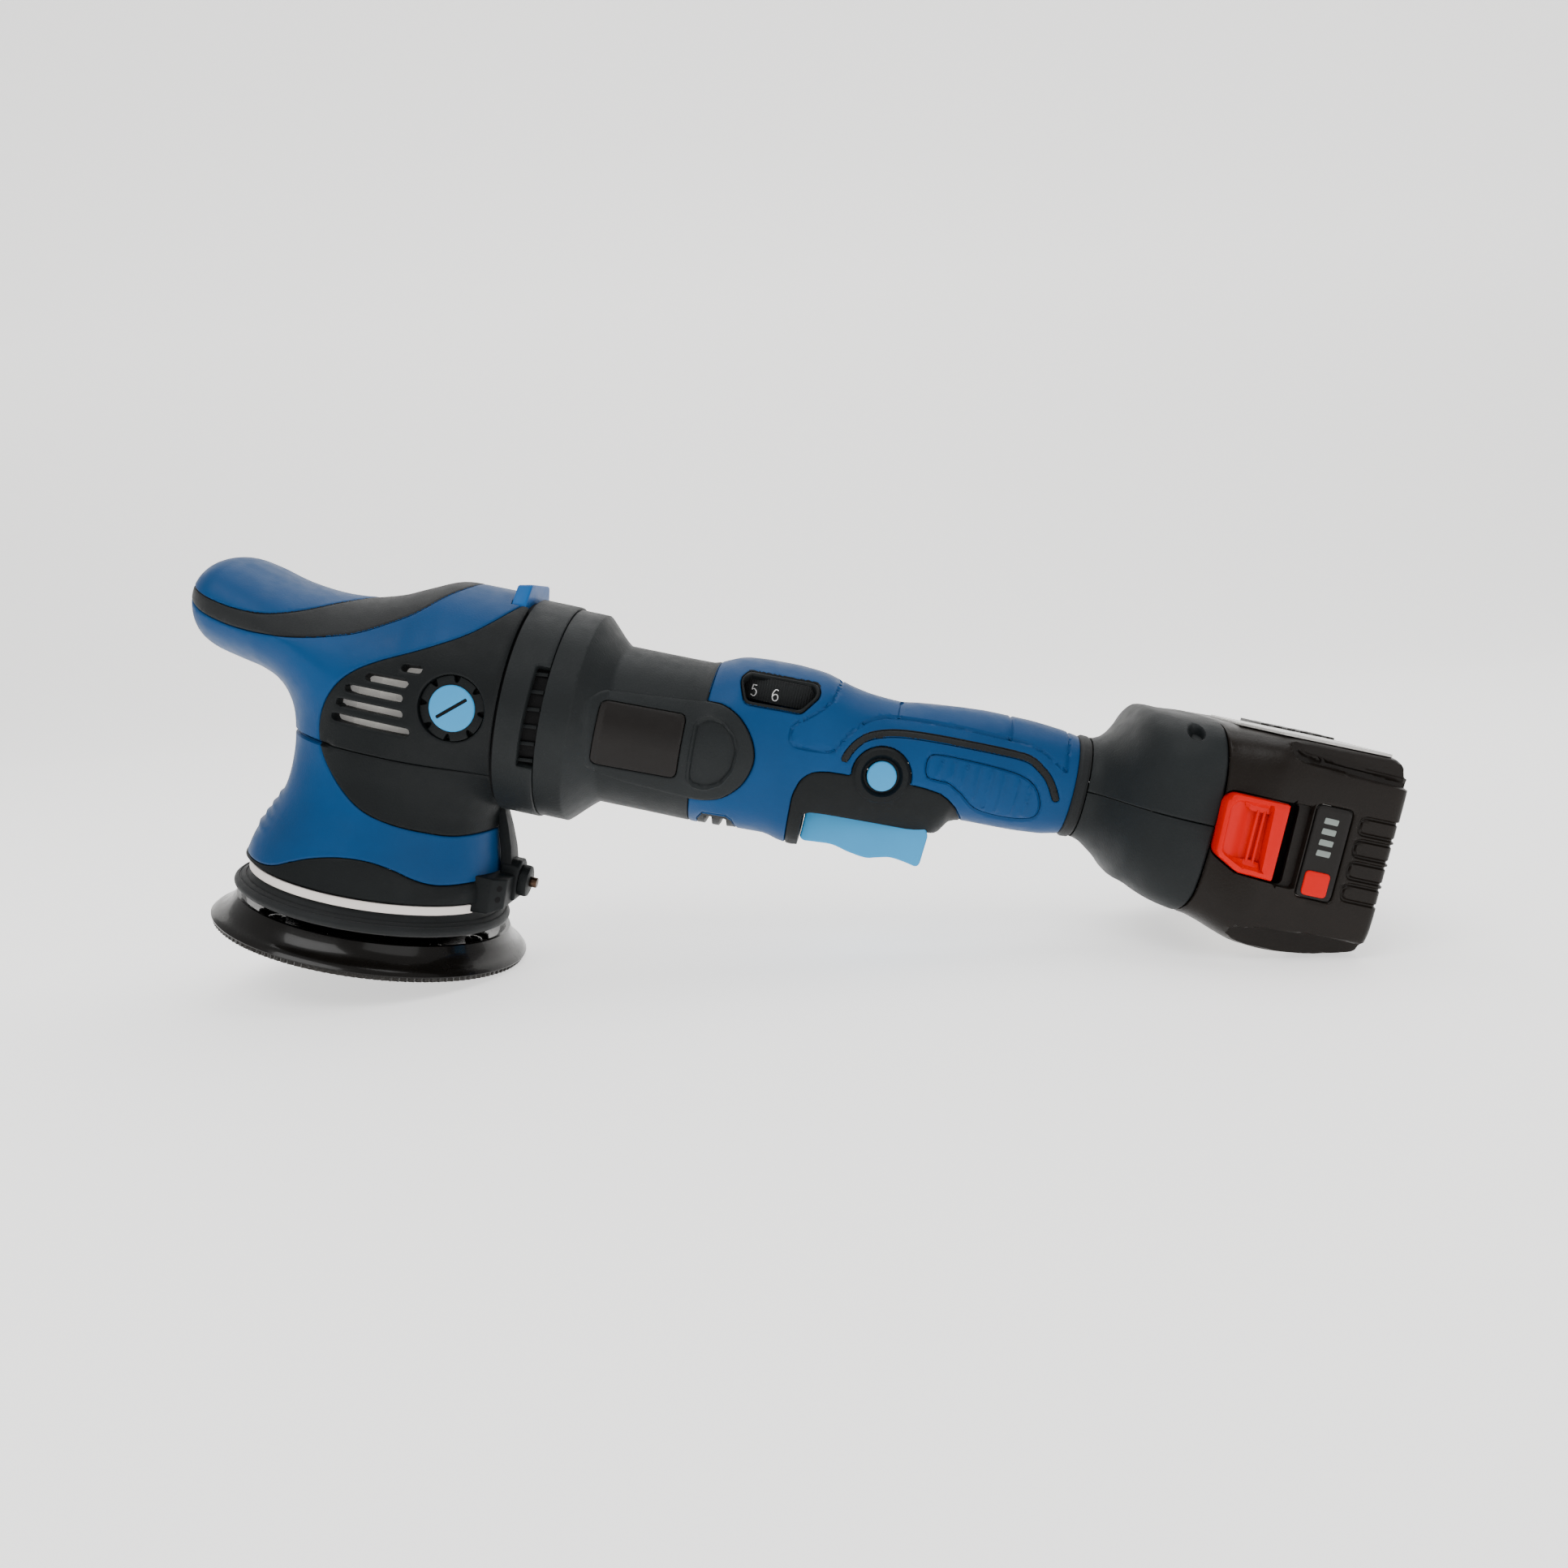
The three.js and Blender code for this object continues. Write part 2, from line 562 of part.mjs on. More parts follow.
clampKnob.position.set(CLAMP_REAR + 0.5, 0, CLAMP_Z);
const clampBolt = add('clamp_bolt', rod(3.2, [0, 0, 0], [2.8, 0, 0], 6), copper);
clampBolt.position.set(CLAMP_REAR + 5.8, 0, CLAMP_Z);

// ---------------------------------------------------------------- motor
const COLLAR_BORE = 38.4;
let collar = turnedAlongBody([
  [COLLAR_BORE, COLLAR_FRONT], [COLLAR_RADIUS, COLLAR_FRONT], [COLLAR_RADIUS, COLLAR_REAR],
  [COLLAR_BORE, COLLAR_REAR], [COLLAR_BORE, COLLAR_FRONT],
], 28);
const COLLAR_RIBS = 4;
const VENT_LOW_Z = 88;
const VENT_HIGH_Z = 127;
const ventStep = (VENT_HIGH_Z - VENT_LOW_Z) / COLLAR_RIBS;
for (let i = 0; i < COLLAR_RIBS; i += 1) {
  const low = VENT_LOW_Z + i * ventStep;
  collar = cut(collar, block(55.4, -WIDE, low, 61.4, WIDE, low + ventStep - 1.8));
}
add('motor_collar', collar, black);

// The casing behind the collar carries a D-shaped flap over each side of the handle.
const handleStations = [
  { x: BARREL_REAR + GAP, low: 75.5, high: 139.1, half: 31.8 },
  { x: 138, low: 76.2, high: 139.8, half: 31, power: 2.1 },
  { x: 160, low: 76, high: 140.9, half: 28.2, power: 2.1 },
  { x: 176, low: 83, high: 140.7, half: 25.4, power: 2.2 },
  { x: 194, low: 84.6, high: 140.4, half: 23.2, power: 2.2 },
  { x: 213, low: 87, high: 142.4, half: 22, power: 2.2 },
  { x: 221, low: 97, high: 142.8, half: 21.7, power: 2.2 },
  { x: 246, low: 98.4, high: 142.9, half: 21.3, power: 2.2 },
  { x: HANDLE_REAR, low: 101, high: 140.9, half: 20.4, power: 2.2 },
];
const handleOuter = bodyLoft(handleStations);
const handleSkin = cut(handleOuter, bodyLoft(handleStations, SKIN));
const handleUnderSkin = bodyLoft(handleStations, POCKET);

const FLAP_Z = 107.5;
const FLAP_HALF = 18.4;
const flapOutline = [
  [116, FLAP_Z - FLAP_HALF], ...arc(121, FLAP_Z, FLAP_HALF, -90, 90, 8), [116, FLAP_Z + FLAP_HALF],
];
const HOUSING_BORE = 28.6;
const flapAnchor = block(115, -WIDE, FLAP_Z - FLAP_HALF, BARREL_REAR + GAP + 0.1, WIDE, FLAP_Z + FLAP_HALF);
const FAN_BORE = 38.4;
const barrelShell = turnedAlongBody([
  [FAN_BORE, COLLAR_REAR + GAP], [FLARE_RADIUS, COLLAR_REAR + GAP], [FLARE_RADIUS - 0.4, 74.8],
  [BARREL_RADIUS, 86],
  [BARREL_RADIUS, BARREL_REAR], [10, BARREL_REAR], [10, 109], [HOUSING_BORE, 109], [HOUSING_BORE, 80],
  [FAN_BORE, 70], [FAN_BORE, COLLAR_REAR + GAP],
], 28);
const flaps = handleSkin.intersect(prism(flapOutline, -WIDE, WIDE));
const flapRoot = turnedAlongBody([
  [29.6, 115], [BARREL_RADIUS, 115], [BARREL_RADIUS, 118.4], [29.6, 118.4], [29.6, 115],
], 28).intersect(flapAnchor);
add('motor_housing', union(barrelShell, flapRoot, flaps), black);

const LABEL_DEPTH = 1;
const labelOutline = [[80, 94], [114, 95.1], [114.7, 119.6], [81, 118.7]];
const LABEL_RADIUS = BARREL_RADIUS + GAP;
const labelShell = turnedAlongBody([
  [LABEL_RADIUS, 70], [LABEL_RADIUS + LABEL_DEPTH, 70], [LABEL_RADIUS + LABEL_DEPTH, 122],
  [LABEL_RADIUS, 122], [LABEL_RADIUS, 70],
], 36);
const flareClear = turnedAlongBody([
  [0, 60], [FLARE_RADIUS + 1, 60], [FLARE_RADIUS + 1, 76], [LABEL_RADIUS, 87], [0, 87],
]);
const labels = cut(labelShell, flareClear);
add('left_label_plate', labels.intersect(leftSide(labelOutline)), graphite);
add('right_label_plate', labels.intersect(rightSide(labelOutline)), graphite);

bearing('front_motor_bearing', 4.3, FRONT_BEARING_RADIUS, 9, [36, 0, BARREL_Z], true);
bearing('rear_motor_bearing', 4.3, 9.6, 7, [109.6, 0, BARREL_Z], true);

const ROTOR_RADIUS = 15;
add('motor_rotor', turnedAlongBody([
  [0, MESH_X + 4.4], [4, MESH_X + 4.4], [4, 68], [9, 68], [9, 70], [ROTOR_RADIUS, 70], [ROTOR_RADIUS, 104],
  [9, 104], [9, 106], [4, 106], [4, 116], [0, 116],
], 20), steel);
let stator = turnedAlongBody([
  [ROTOR_RADIUS + 0.6, 72], [28, 72], [28, 102], [25, 107], [ROTOR_RADIUS + 2, 107],
  [ROTOR_RADIUS + 0.6, 102],
  [ROTOR_RADIUS + 0.6, 72],
], 24);
const STATOR_SLOTS = 6;
for (let i = 0; i < STATOR_SLOTS; i += 1) {
  const slot = new THREE.BoxGeometry(60, 4, 7);
  slot.translate(90, 0, 21);
  slot.rotateX(2 * Math.PI * i / STATOR_SLOTS);
  slot.translate(0, 0, BARREL_Z);
  stator = cut(stator, solid(slot));
}
add('motor_stator', stator, copper);

const FAN_BLADES = 9;
let fan = turnedAlongBody([[4.3, 50], [10, 50], [12, 58], [33, 60.4], [33, 62], [4.3, 62], [4.3, 50]], 18);
for (let i = 0; i < FAN_BLADES; i += 1) {
  const blade = new THREE.BoxGeometry(9.6, 1.4, 20);
  blade.rotateX(0.3);
  blade.translate(56.3, 0, 22.6);
  blade.rotateX(2 * Math.PI * i / FAN_BLADES);
  blade.translate(0, 0, BARREL_Z);
  fan = fan.add(solid(blade));
}
add('cooling_fan', fan, black);

// ---------------------------------------------------------------- handle
const TRIGGER_X0 = 165.6;
const TRIGGER_X1 = 214;
const TRIGGER_HALF = 12.5;
const TRIGGER_ROOF = 108;
const THROAT_Z = 92;              // underside of the handle over the trigger
const throat = block(TRIGGER_X0, -WIDE, 60, 217, WIDE, THROAT_Z);
const triggerWell = block(TRIGGER_X0, -TRIGGER_HALF - GAP, 60, TRIGGER_X1, TRIGGER_HALF + GAP, TRIGGER_ROOF);

const LOCK_BUTTON_X = 190.7;
const LOCK_BUTTON_Z = 111.5;
const LOCK_BUTTON_RADIUS = 5.6;
const FRAME_RING_RADIUS = 11.4;
const lockBore = rod(
  LOCK_BUTTON_RADIUS + 0.5, [LOCK_BUTTON_X, -40, LOCK_BUTTON_Z], [LOCK_BUTTON_X, 40, LOCK_BUTTON_Z], 24,
);

// Trigger frame: a dark bezel under the handle with a ring round the lock button on each side.
const frameOutline = [
  [159.2, 70], [159.1, 96], ...arc(168, 101, 8.4, 170, 95, 3),
  ...arc(LOCK_BUTTON_X, LOCK_BUTTON_Z, FRAME_RING_RADIUS, 188, -12, 8),
  [208, 109.8], ...arc(211, 98, 11.8, 80, 10, 3), [222, 94], [222, 70],
];

// Speed dial: a thumbwheel on a vertical axis, under a hump on the top of the handle.
const DIAL_X = 147;
const DIAL_RADIUS = 19.2;
const DIAL_LOW = 130;
const DIAL_HIGH = 138;
const dialRoom = turned([[0, DIAL_LOW - 0.8], [DIAL_RADIUS + 0.7, DIAL_LOW - 0.8],
  [DIAL_RADIUS + 0.7, DIAL_HIGH + 0.8], [0, DIAL_HIGH + 0.8]], 24).translate([DIAL_X, 0, 0]);
const humpStations = [
  { x: 121, low: 120, high: 139.7, half: 19 },
  { x: 127.5, low: 120, high: 143.4, half: 20.5 },
  { x: 136, low: 120, high: 145.2, half: 21.4 },
  { x: 158, low: 120, high: 145.4, half: 21.2 },
  { x: 169, low: 121, high: 142.8, half: 19.2 },
  { x: 178, low: 122, high: 140.4, half: 16.5 },
];
const hump = cut(
  bodyLoft(humpStations),
  bodyLoft(humpStations.map((station) => ({ ...station, low: station.low - 12 })), 4),
  dialRoom,
);
const dialTrimZone = block(119, -WIDE, 128.6, 179, WIDE, 160);
const humpPiece = hump.intersect(dialTrimZone);
const humpPocket = bodyLoft(humpStations, -GAP).intersect(block(118, -WIDE, 128.6 - GAP, 180, WIDE, 160));

// The ribbed thumb rest on each side.
const padOutline = smooth([
  [206.8, 123], [206.7, 116], [210, 114], [216, 114.2], [222, 110], [229, 105.2], [248.8, 105.6], [252, 110],
  [249, 118.4], [242.9, 122.4], [226, 123.6], [207.4, 123.6],
], 12);

const handleInside = bodyLoft([
  { ...handleStations[0], x: BARREL_REAR - 1 },
  ...handleStations.slice(1, -1),
  { ...handleStations.at(-1), x: HANDLE_REAR + 1 },
], WALL);
const triggerFrame = cut(
  handleSkin.intersect(prism(frameOutline, -WIDE, WIDE)), throat, triggerWell, lockBore,
);
const handleShell = cut(
  handleOuter,
  cut(handleInside, block(155, -20, 104.5, 222, 20, 107.5)),
  throat,
  triggerWell,
  lockBore,
  dialRoom,
  humpPocket,
  recess(flapOutline, handleUnderSkin),
  recess(frameOutline, handleUnderSkin),
  recess(padOutline, handleUnderSkin),
);
add('left_handle_shell', handleShell.intersect(block(0, -WIDE, 0, 400, -GAP / 2, 200)), blue);
add('right_handle_shell', handleShell.intersect(block(0, GAP / 2, 0, 400, WIDE, 200)), blue);
add('left_thumb_pad', handleSkin.intersect(leftSide(padOutline)), softBlack);
add('right_thumb_pad', handleSkin.intersect(rightSide(padOutline)), softBlack);
add('trigger_frame', triggerFrame, black);
add('dial_cover', humpPiece, blue);

const dialWheel = turned([
  [3, 0], [DIAL_RADIUS - 0.8, 0], [DIAL_RADIUS, 0.8], [DIAL_RADIUS, DIAL_HIGH - DIAL_LOW - 0.8],
  [DIAL_RADIUS - 0.8, DIAL_HIGH - DIAL_LOW], [3, DIAL_HIGH - DIAL_LOW], [3, 0],
], 24);
add('speed_dial', dialWheel, softBlack).position.set(DIAL_X, 0, DIAL_LOW);

// Trigger, hinged at its front end inside the well.
const HINGE_X = 169.4;
const HINGE_Z = 98;
const triggerOutline = [
  [166.4, 79.6], [169, 79.2],
  ...smooth([
    [171.5, 80.2], [178, 80.6], [184.7, 79.2], [191.4, 78.4], [195.4, 79.4], [201, 80.3], [206.1, 79.8], [210.6, 79],
  ], 14),
  [212.4, 80.4], [212.2, 92], [209.6, 99], [196, 99.6], [172, 101.6],
  ...arc(HINGE_X, HINGE_Z, 3.4, 60, 180, 6),
];
add('trigger', prism(
  triggerOutline.map(([x, z]) => [x - HINGE_X, z - HINGE_Z]), -TRIGGER_HALF, TRIGGER_HALF,
), lightBlue).position.set(HINGE_X, 0, HINGE_Z);

const button = add('lock_button', union(
  rod(LOCK_BUTTON_RADIUS, [0, -24.6, 0], [0, -16, 0], 24),
  rod(3.4, [0, -17, 0], [0, 15, 0], 20),
  rod(LOCK_BUTTON_RADIUS, [0, 14.5, 0], [0, 21.6, 0], 24),
), lightBlue);
button.position.set(LOCK_BUTTON_X, 0, LOCK_BUTTON_Z);

add('trigger_switch', cut(
  block(172, -11, 117.6, 208, 11, 128),
  block(186, -12, 110, 195.4, 12, 119),
), black);
add('control_board', union(
  block(214, -13, 118, 258, 13, 119.6),
  block(220, -9, 119, 234, 9, 128),
  rod(5, [246, 0, 119], [246, 0, 131], 20),
), green);

add('handle_ring', cut(
  bodyLoft([
    { x: HANDLE_REAR + GAP, low: 100.2, high: 141.8, half: 21.3, power: 2.2 },
    { x: FOOT_FRONT - GAP, low: 100.2, high: 141.8, half: 21.8, power: 2.2 },
  ]),
  rod(14, [250, 0, 121], [280, 0, 121]),
), softBlack);

// ---------------------------------------------------------------- foot
const footStations = [
  { x: FOOT_FRONT, low: 101.3, high: 140.6, half: 20.8, power: 2.2 },
  { x: 271, low: 100.6, high: 142, half: 22.6, power: 2.3 },
  { x: 276, low: 96.6, high: 146.6, half: 28, power: 2.6 },
  { x: 281, low: 91.6, high: 154.2, half: 35.5, power: 3.2 },
  { x: 287, low: 87, high: 157.2, half: 42, power: 4 },
  { x: 294, low: 85, high: 157.6, half: 46.5, power: 5 },
  { x: FOOT_REAR, low: 84.6, high: 158.6, half: 49.5, power: 6 },
];
const RAIL_X = 298;
const LIP_X = 301.5;
const NECK_HALF = 17.5;
const LIP_HALF = 21;
const RAIL_END_Y = 35;
const CHANNEL_X = RAIL_X - 0.5;
const CHANNEL_END_Y = RAIL_END_Y + 12;
const lipReach = LIP_HALF + GAP;
const neckReach = NECK_HALF + GAP;
const railChannel = union(
  block(CHANNEL_X, -WIDE, FOOT_SEAM_Z - lipReach, LIP_X + GAP, CHANNEL_END_Y, FOOT_SEAM_Z + lipReach),
  block(CHANNEL_X, -WIDE, FOOT_SEAM_Z - neckReach, 330, CHANNEL_END_Y, FOOT_SEAM_Z + neckReach),
);
const HOOK_TIP_X = 295.4;
const HOOK_Y0 = -42;
const HOOK_Y1 = -38.6;
const HOOK_HALF = 5;
const HOOK_CLEAR = 0.6;
const hookReach = HOOK_HALF + HOOK_CLEAR;
const hookPocket = block(
  HOOK_TIP_X - HOOK_CLEAR, HOOK_Y0 - HOOK_CLEAR, FOOT_SEAM_Z - hookReach,
  RAIL_X, HOOK_Y1 + HOOK_CLEAR, FOOT_SEAM_Z + hookReach,
);
const footShell = cut(
  bodyLoft(footStations),
  bodyLoft(footStations.slice(0, -1).map((station) => ({ ...station, x: station.x - 2 })), WALL),
  railChannel,
  hookPocket,
);
add('foot_upper', footShell.intersect(block(250, -WIDE, FOOT_SEAM_Z + GAP / 2, 330, WIDE, 170)), black);
add('foot_lower', footShell.intersect(block(250, -WIDE, 60, 330, WIDE, FOOT_SEAM_Z - GAP / 2)), black);

const TERMINAL_HALF = 13;
const TERMINAL_PITCH = 9;
let terminals = block(
  RAIL_X, RAIL_END_Y + 2, FOOT_SEAM_Z - TERMINAL_HALF - 2,
  305, RAIL_END_Y + 11, FOOT_SEAM_Z + TERMINAL_HALF + 2,
);
for (const offset of [-TERMINAL_PITCH, 0, TERMINAL_PITCH]) {
  terminals = terminals.add(block(
    301, RAIL_END_Y - 8, FOOT_SEAM_Z + offset - 0.5, 305, RAIL_END_Y + 4, FOOT_SEAM_Z + offset + 0.5,
  ));
}
add('terminal_block', terminals, copper);

// ---------------------------------------------------------------- battery
const battery = new THREE.Group();
tool.add(battery);
const CORNER = 8;
const batteryOutline = [
  ...arc(BATTERY_FRONT + 2, BATTERY_LOW + 2, 2, 270, 180, 3),
  ...arc(BATTERY_FRONT + 2, BATTERY_HIGH - 2, 2, 180, 90, 3),
  ...arc(BATTERY_REAR - CORNER, BATTERY_HIGH - CORNER, CORNER, 90, 0, 6),
  ...arc(BATTERY_REAR - CORNER, BATTERY_LOW + CORNER, CORNER, 0, -90, 6),
];
const BEVEL = 3;
const sideBevel = union(
  prism(batteryOutline, -BATTERY_HALF_WIDTH + BEVEL, BATTERY_HALF_WIDTH - BEVEL),
  prism(widened(batteryOutline, -BEVEL / 2), -BATTERY_HALF_WIDTH, BATTERY_HALF_WIDTH),
);
const rails = cut(
  union(
    block(
      RAIL_X, -RAIL_END_Y - 2, FOOT_SEAM_Z - NECK_HALF,
      BATTERY_FRONT + 1, RAIL_END_Y, FOOT_SEAM_Z + NECK_HALF,
    ),
    block(RAIL_X, -RAIL_END_Y - 2, FOOT_SEAM_Z - LIP_HALF, LIP_X, RAIL_END_Y, FOOT_SEAM_Z + LIP_HALF),
  ),
  block(300, RAIL_END_Y - 9.5, FOOT_SEAM_Z - TERMINAL_HALF, 306, RAIL_END_Y + 1, FOOT_SEAM_Z + TERMINAL_HALF),
);
const LATCH_X0 = BATTERY_FRONT + 0.4;
const LATCH_STEP = 319;
const LATCH_X1 = 338;
const LATCH_Z0 = 107.4;
const LATCH_Z1 = 135.2;
const LATCH_FACE = -BATTERY_HALF_WIDTH - 0.4;
const LATCH_TRAVEL = 4;
const latchRoom = union(
  block(290, -WIDE, LATCH_Z0 - GAP, 333.6, -52.2, LATCH_Z1 + GAP),
  block(290, -53, LATCH_Z0 - GAP, LATCH_X1 + LATCH_TRAVEL + GAP, -46.6, LATCH_Z1 + GAP),
  block(
    300, -53, FOOT_SEAM_Z - HOOK_HALF - GAP, 313.6, HOOK_Y1 + GAP, FOOT_SEAM_Z + HOOK_HALF + GAP,
  ),
);
const GAUGE_X0 = 339;
const GAUGE_X1 = 350.8;
const GAUGE_Z0 = 104.8;
const GAUGE_Z1 = 137.3;
const gaugeRoom = block(GAUGE_X0 - GAP, -WIDE, GAUGE_Z0 - GAP, GAUGE_X1 + GAP, -55, GAUGE_Z1 + GAP);
const GAUGE_BUTTON_Z = 109.8;
const GAUGE_BUTTON_HALF = 4.3;
const gaugeCentre = (GAUGE_X0 + GAUGE_X1) / 2;
const CELL_RADIUS = 9.1;
const cellRoom = block(312.6, -48, 89, 365, 47, 154.6);
const railDoor = block(RAIL_X - 1, -30, FOOT_SEAM_Z - 6, 316, 24, FOOT_SEAM_Z + 6);
const buttonRoom = block(
  gaugeCentre - GAUGE_BUTTON_HALF - GAP, -WIDE, GAUGE_BUTTON_Z - GAUGE_BUTTON_HALF - GAP,
  gaugeCentre + GAUGE_BUTTON_HALF + GAP, -50.6, GAUGE_BUTTON_Z + GAUGE_BUTTON_HALF + GAP,
);
add('battery_case', cut(
  union(sideBevel, rails), latchRoom, gaugeRoom, buttonRoom,
  cut(cellRoom, block(300, -50, LATCH_Z0 - 4, 346, -43.4, LATCH_Z1 + 4), block(330, -52, 100, 356, -47, 142)),
  railDoor,
), graphite, battery);

// Cells lie across the pack in two layers of three, joined by their holder.
const CELL_COLUMNS = [323.5, 342.6];
const CELL_ROWS = [99.6, 121.6, 143.6];
const CELL_HALF_LENGTH = 42;
let cells = block(316, -3, 92, 362, 3, 151);
for (const x of CELL_COLUMNS) {
  for (const z of CELL_ROWS) {
    cells = cells.add(rod(CELL_RADIUS, [x, -CELL_HALF_LENGTH, z], [x, CELL_HALF_LENGTH, z], 10));
  }
}
add('battery_cells', cells, green, battery);

add('battery_latch', union(
  block(LATCH_X0, LATCH_FACE, LATCH_Z0, LATCH_STEP, -50, LATCH_Z1),
  block(LATCH_X0, -51.2, LATCH_Z0, LATCH_X1, -47.2, LATCH_Z1),
  block(301, -50.4, FOOT_SEAM_Z - HOOK_HALF, LATCH_X0 + 0.4, HOOK_Y1, FOOT_SEAM_Z + HOOK_HALF),
  block(HOOK_TIP_X, HOOK_Y0, FOOT_SEAM_Z - HOOK_HALF, 302, HOOK_Y1, FOOT_SEAM_Z + HOOK_HALF),
), red, battery);
add('gauge_panel', cut(
  block(GAUGE_X0, LATCH_FACE + 0.6, GAUGE_Z0, GAUGE_X1, -55.3, GAUGE_Z1),
  buttonRoom,
), graphite, battery);
add('gauge_button', block(
  -GAUGE_BUTTON_HALF, LATCH_FACE, -GAUGE_BUTTON_HALF, GAUGE_BUTTON_HALF, -52.6, GAUGE_BUTTON_HALF,
), red, battery).position.set(gaugeCentre, 0, GAUGE_BUTTON_Z);

// ---------------------------------------------------------------- resting pose
// The tool leans back until the rear edge of the plate and the low edge of the battery share one level.
const PLATE_CONTACT_X = ORBIT_X + PLATE_RADIUS - 0.6;
const cornerX = BATTERY_REAR - CORNER - PLATE_CONTACT_X;
const cornerZ = BATTERY_LOW + CORNER;
const LEAN = Math.atan2(cornerZ, cornerX) - Math.asin(CORNER / Math.hypot(cornerX, cornerZ));
const polisher = new THREE.Group();
polisher.name = 'dual_action_polisher';
tool.rotation.y = LEAN;
polisher.add(tool);
polisher.updateMatrixWorld(true);
const bounds = new THREE.Box3().setFromObject(polisher, true);
tool.position.set(
  -(bounds.min.x + bounds.max.x) / 2,
  -(bounds.min.y + bounds.max.y) / 2,
  -bounds.min.z,
);

export default polisher;
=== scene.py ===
"""Looks of the dual action polisher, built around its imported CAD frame."""
import json
import math

import bmesh
import bpy
import numpy as np
from mathutils import Matrix, Vector


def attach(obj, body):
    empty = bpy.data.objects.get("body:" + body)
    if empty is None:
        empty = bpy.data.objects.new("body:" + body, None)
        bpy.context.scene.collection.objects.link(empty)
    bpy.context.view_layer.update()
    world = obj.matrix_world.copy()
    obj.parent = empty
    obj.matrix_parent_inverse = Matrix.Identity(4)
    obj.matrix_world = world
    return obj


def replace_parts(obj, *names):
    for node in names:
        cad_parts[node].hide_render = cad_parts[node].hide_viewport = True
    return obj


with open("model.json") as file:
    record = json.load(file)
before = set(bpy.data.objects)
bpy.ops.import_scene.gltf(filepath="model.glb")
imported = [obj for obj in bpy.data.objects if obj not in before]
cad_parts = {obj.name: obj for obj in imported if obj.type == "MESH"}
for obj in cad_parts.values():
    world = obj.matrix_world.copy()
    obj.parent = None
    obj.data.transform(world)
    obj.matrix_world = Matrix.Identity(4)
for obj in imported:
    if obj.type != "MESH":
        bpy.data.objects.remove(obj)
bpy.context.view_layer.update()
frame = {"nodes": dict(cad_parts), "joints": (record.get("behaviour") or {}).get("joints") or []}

# ------------------------ the tool's own frame
# Every piece is drawn in millimetres in the tool's frame: x along the body towards the battery,
# z up the spindle, y = 0 in the middle plane. The joints say where that frame stands.
MM = 0.001
SIDES = (("left", -1), ("right", 1))    # names of the two sides, and the sign of y there
joints = {joint["name"]: joint for joint in frame["joints"]}
ALONG = Vector(joints["rotor_spin"]["axis"]).normalized()
UP = Vector(joints["spindle_spin"]["axis"]).normalized()
SPINDLE_PIVOT_Z = 80
ORIGIN = Vector(joints["spindle_spin"]["pos_m"]) - UP * SPINDLE_PIVOT_Z * MM
TOOL = np.array([[ALONG[i], (0, 1, 0)[i], UP[i]] for i in range(3)])


def row_frame(points):
    """Tool frame in millimetres to the row frame in metres."""
    return np.asarray(points, float) @ TOOL.T * MM + np.array(ORIGIN)


def on_side(side):
    return lambda p: p[:, 1] * side > 0


def y_range(side, outer, inner):
    """The span between two distances from the middle plane, on one side of it."""
    return sorted((side * outer, side * inner))


# ------------------------ curves and outlines, all [x, z]
def smooth(points, steps=8, closed=False):
    """Catmull-Rom curve through the points."""
    p = np.array(points, float)
    if closed:
        p = np.vstack([p[-1], p, p[0], p[1]])
    else:
        p = np.vstack([2 * p[0] - p[1], p, 2 * p[-1] - p[-2]])
    t = np.linspace(0, 1, steps, endpoint=False)[:, None]
    made = []
    for a, b, c, d in zip(p, p[1:], p[2:], p[3:]):
        made.append(0.5 * (2 * b + (c - a) * t + (2 * a - 5 * b + 4 * c - d) * t**2
                           + (3 * b - a - 3 * c + d) * t**3))
    made = np.vstack(made)
    return made if closed else np.vstack([made, p[-2]])


def arc(x, z, radius, start, end, steps=10):
    angles = np.radians(np.linspace(start, end, steps + 1))
    return np.column_stack([x + radius * np.cos(angles), z + radius * np.sin(angles)])


def circle(x, z, radius, steps=40):
    return arc(x, z, radius, 0, 360, steps)[:-1]


def round_outline(centre, count, radius_at):
    """A closed outline about a centre; radius_at gives its radius at each of count steps."""
    made = []
    for i in range(count):
        turn, radius = math.radians(360 * i / count), radius_at(i)
        made.append((centre[0] + radius * math.cos(turn), centre[1] + radius * math.sin(turn)))
    return made


def rounded(points, radius, steps=5):
    """The polygon with its corners rounded; radius is one number or one for each corner."""
    p = np.array(points, float)
    radii = np.broadcast_to(np.asarray(radius, float), len(p))
    made = []
    for i, corner in enumerate(p):
        before, after = p[i - 1] - corner, p[(i + 1) % len(p)] - corner
        long_before, long_after = np.linalg.norm(before), np.linalg.norm(after)
        before, after = before / long_before, after / long_after
        half = math.acos(np.clip(before @ after, -1, 1)) / 2
        if radii[i] <= 0 or half > 1.55:
            made.append(corner)
            continue
        reach = min(radii[i] / math.tan(half), 0.49 * long_before, 0.49 * long_after)
        for t in np.linspace(0, 1, steps + 1):
            made.append(corner + before * reach * (1 - t) ** 2 + after * reach * t**2)
    return np.array(made)


def capsule(x0, x1, z, height, slope):
    """A slot with round ends; slope lifts its far end."""
    r = height / 2
    near = arc(x0 + r, z, r, 270, 90, 8)
    far = arc(x1 - r, z + slope, r, 90, -90, 8)
    return np.vstack([near, far])


BATCH = 20000                     # points measured at a time


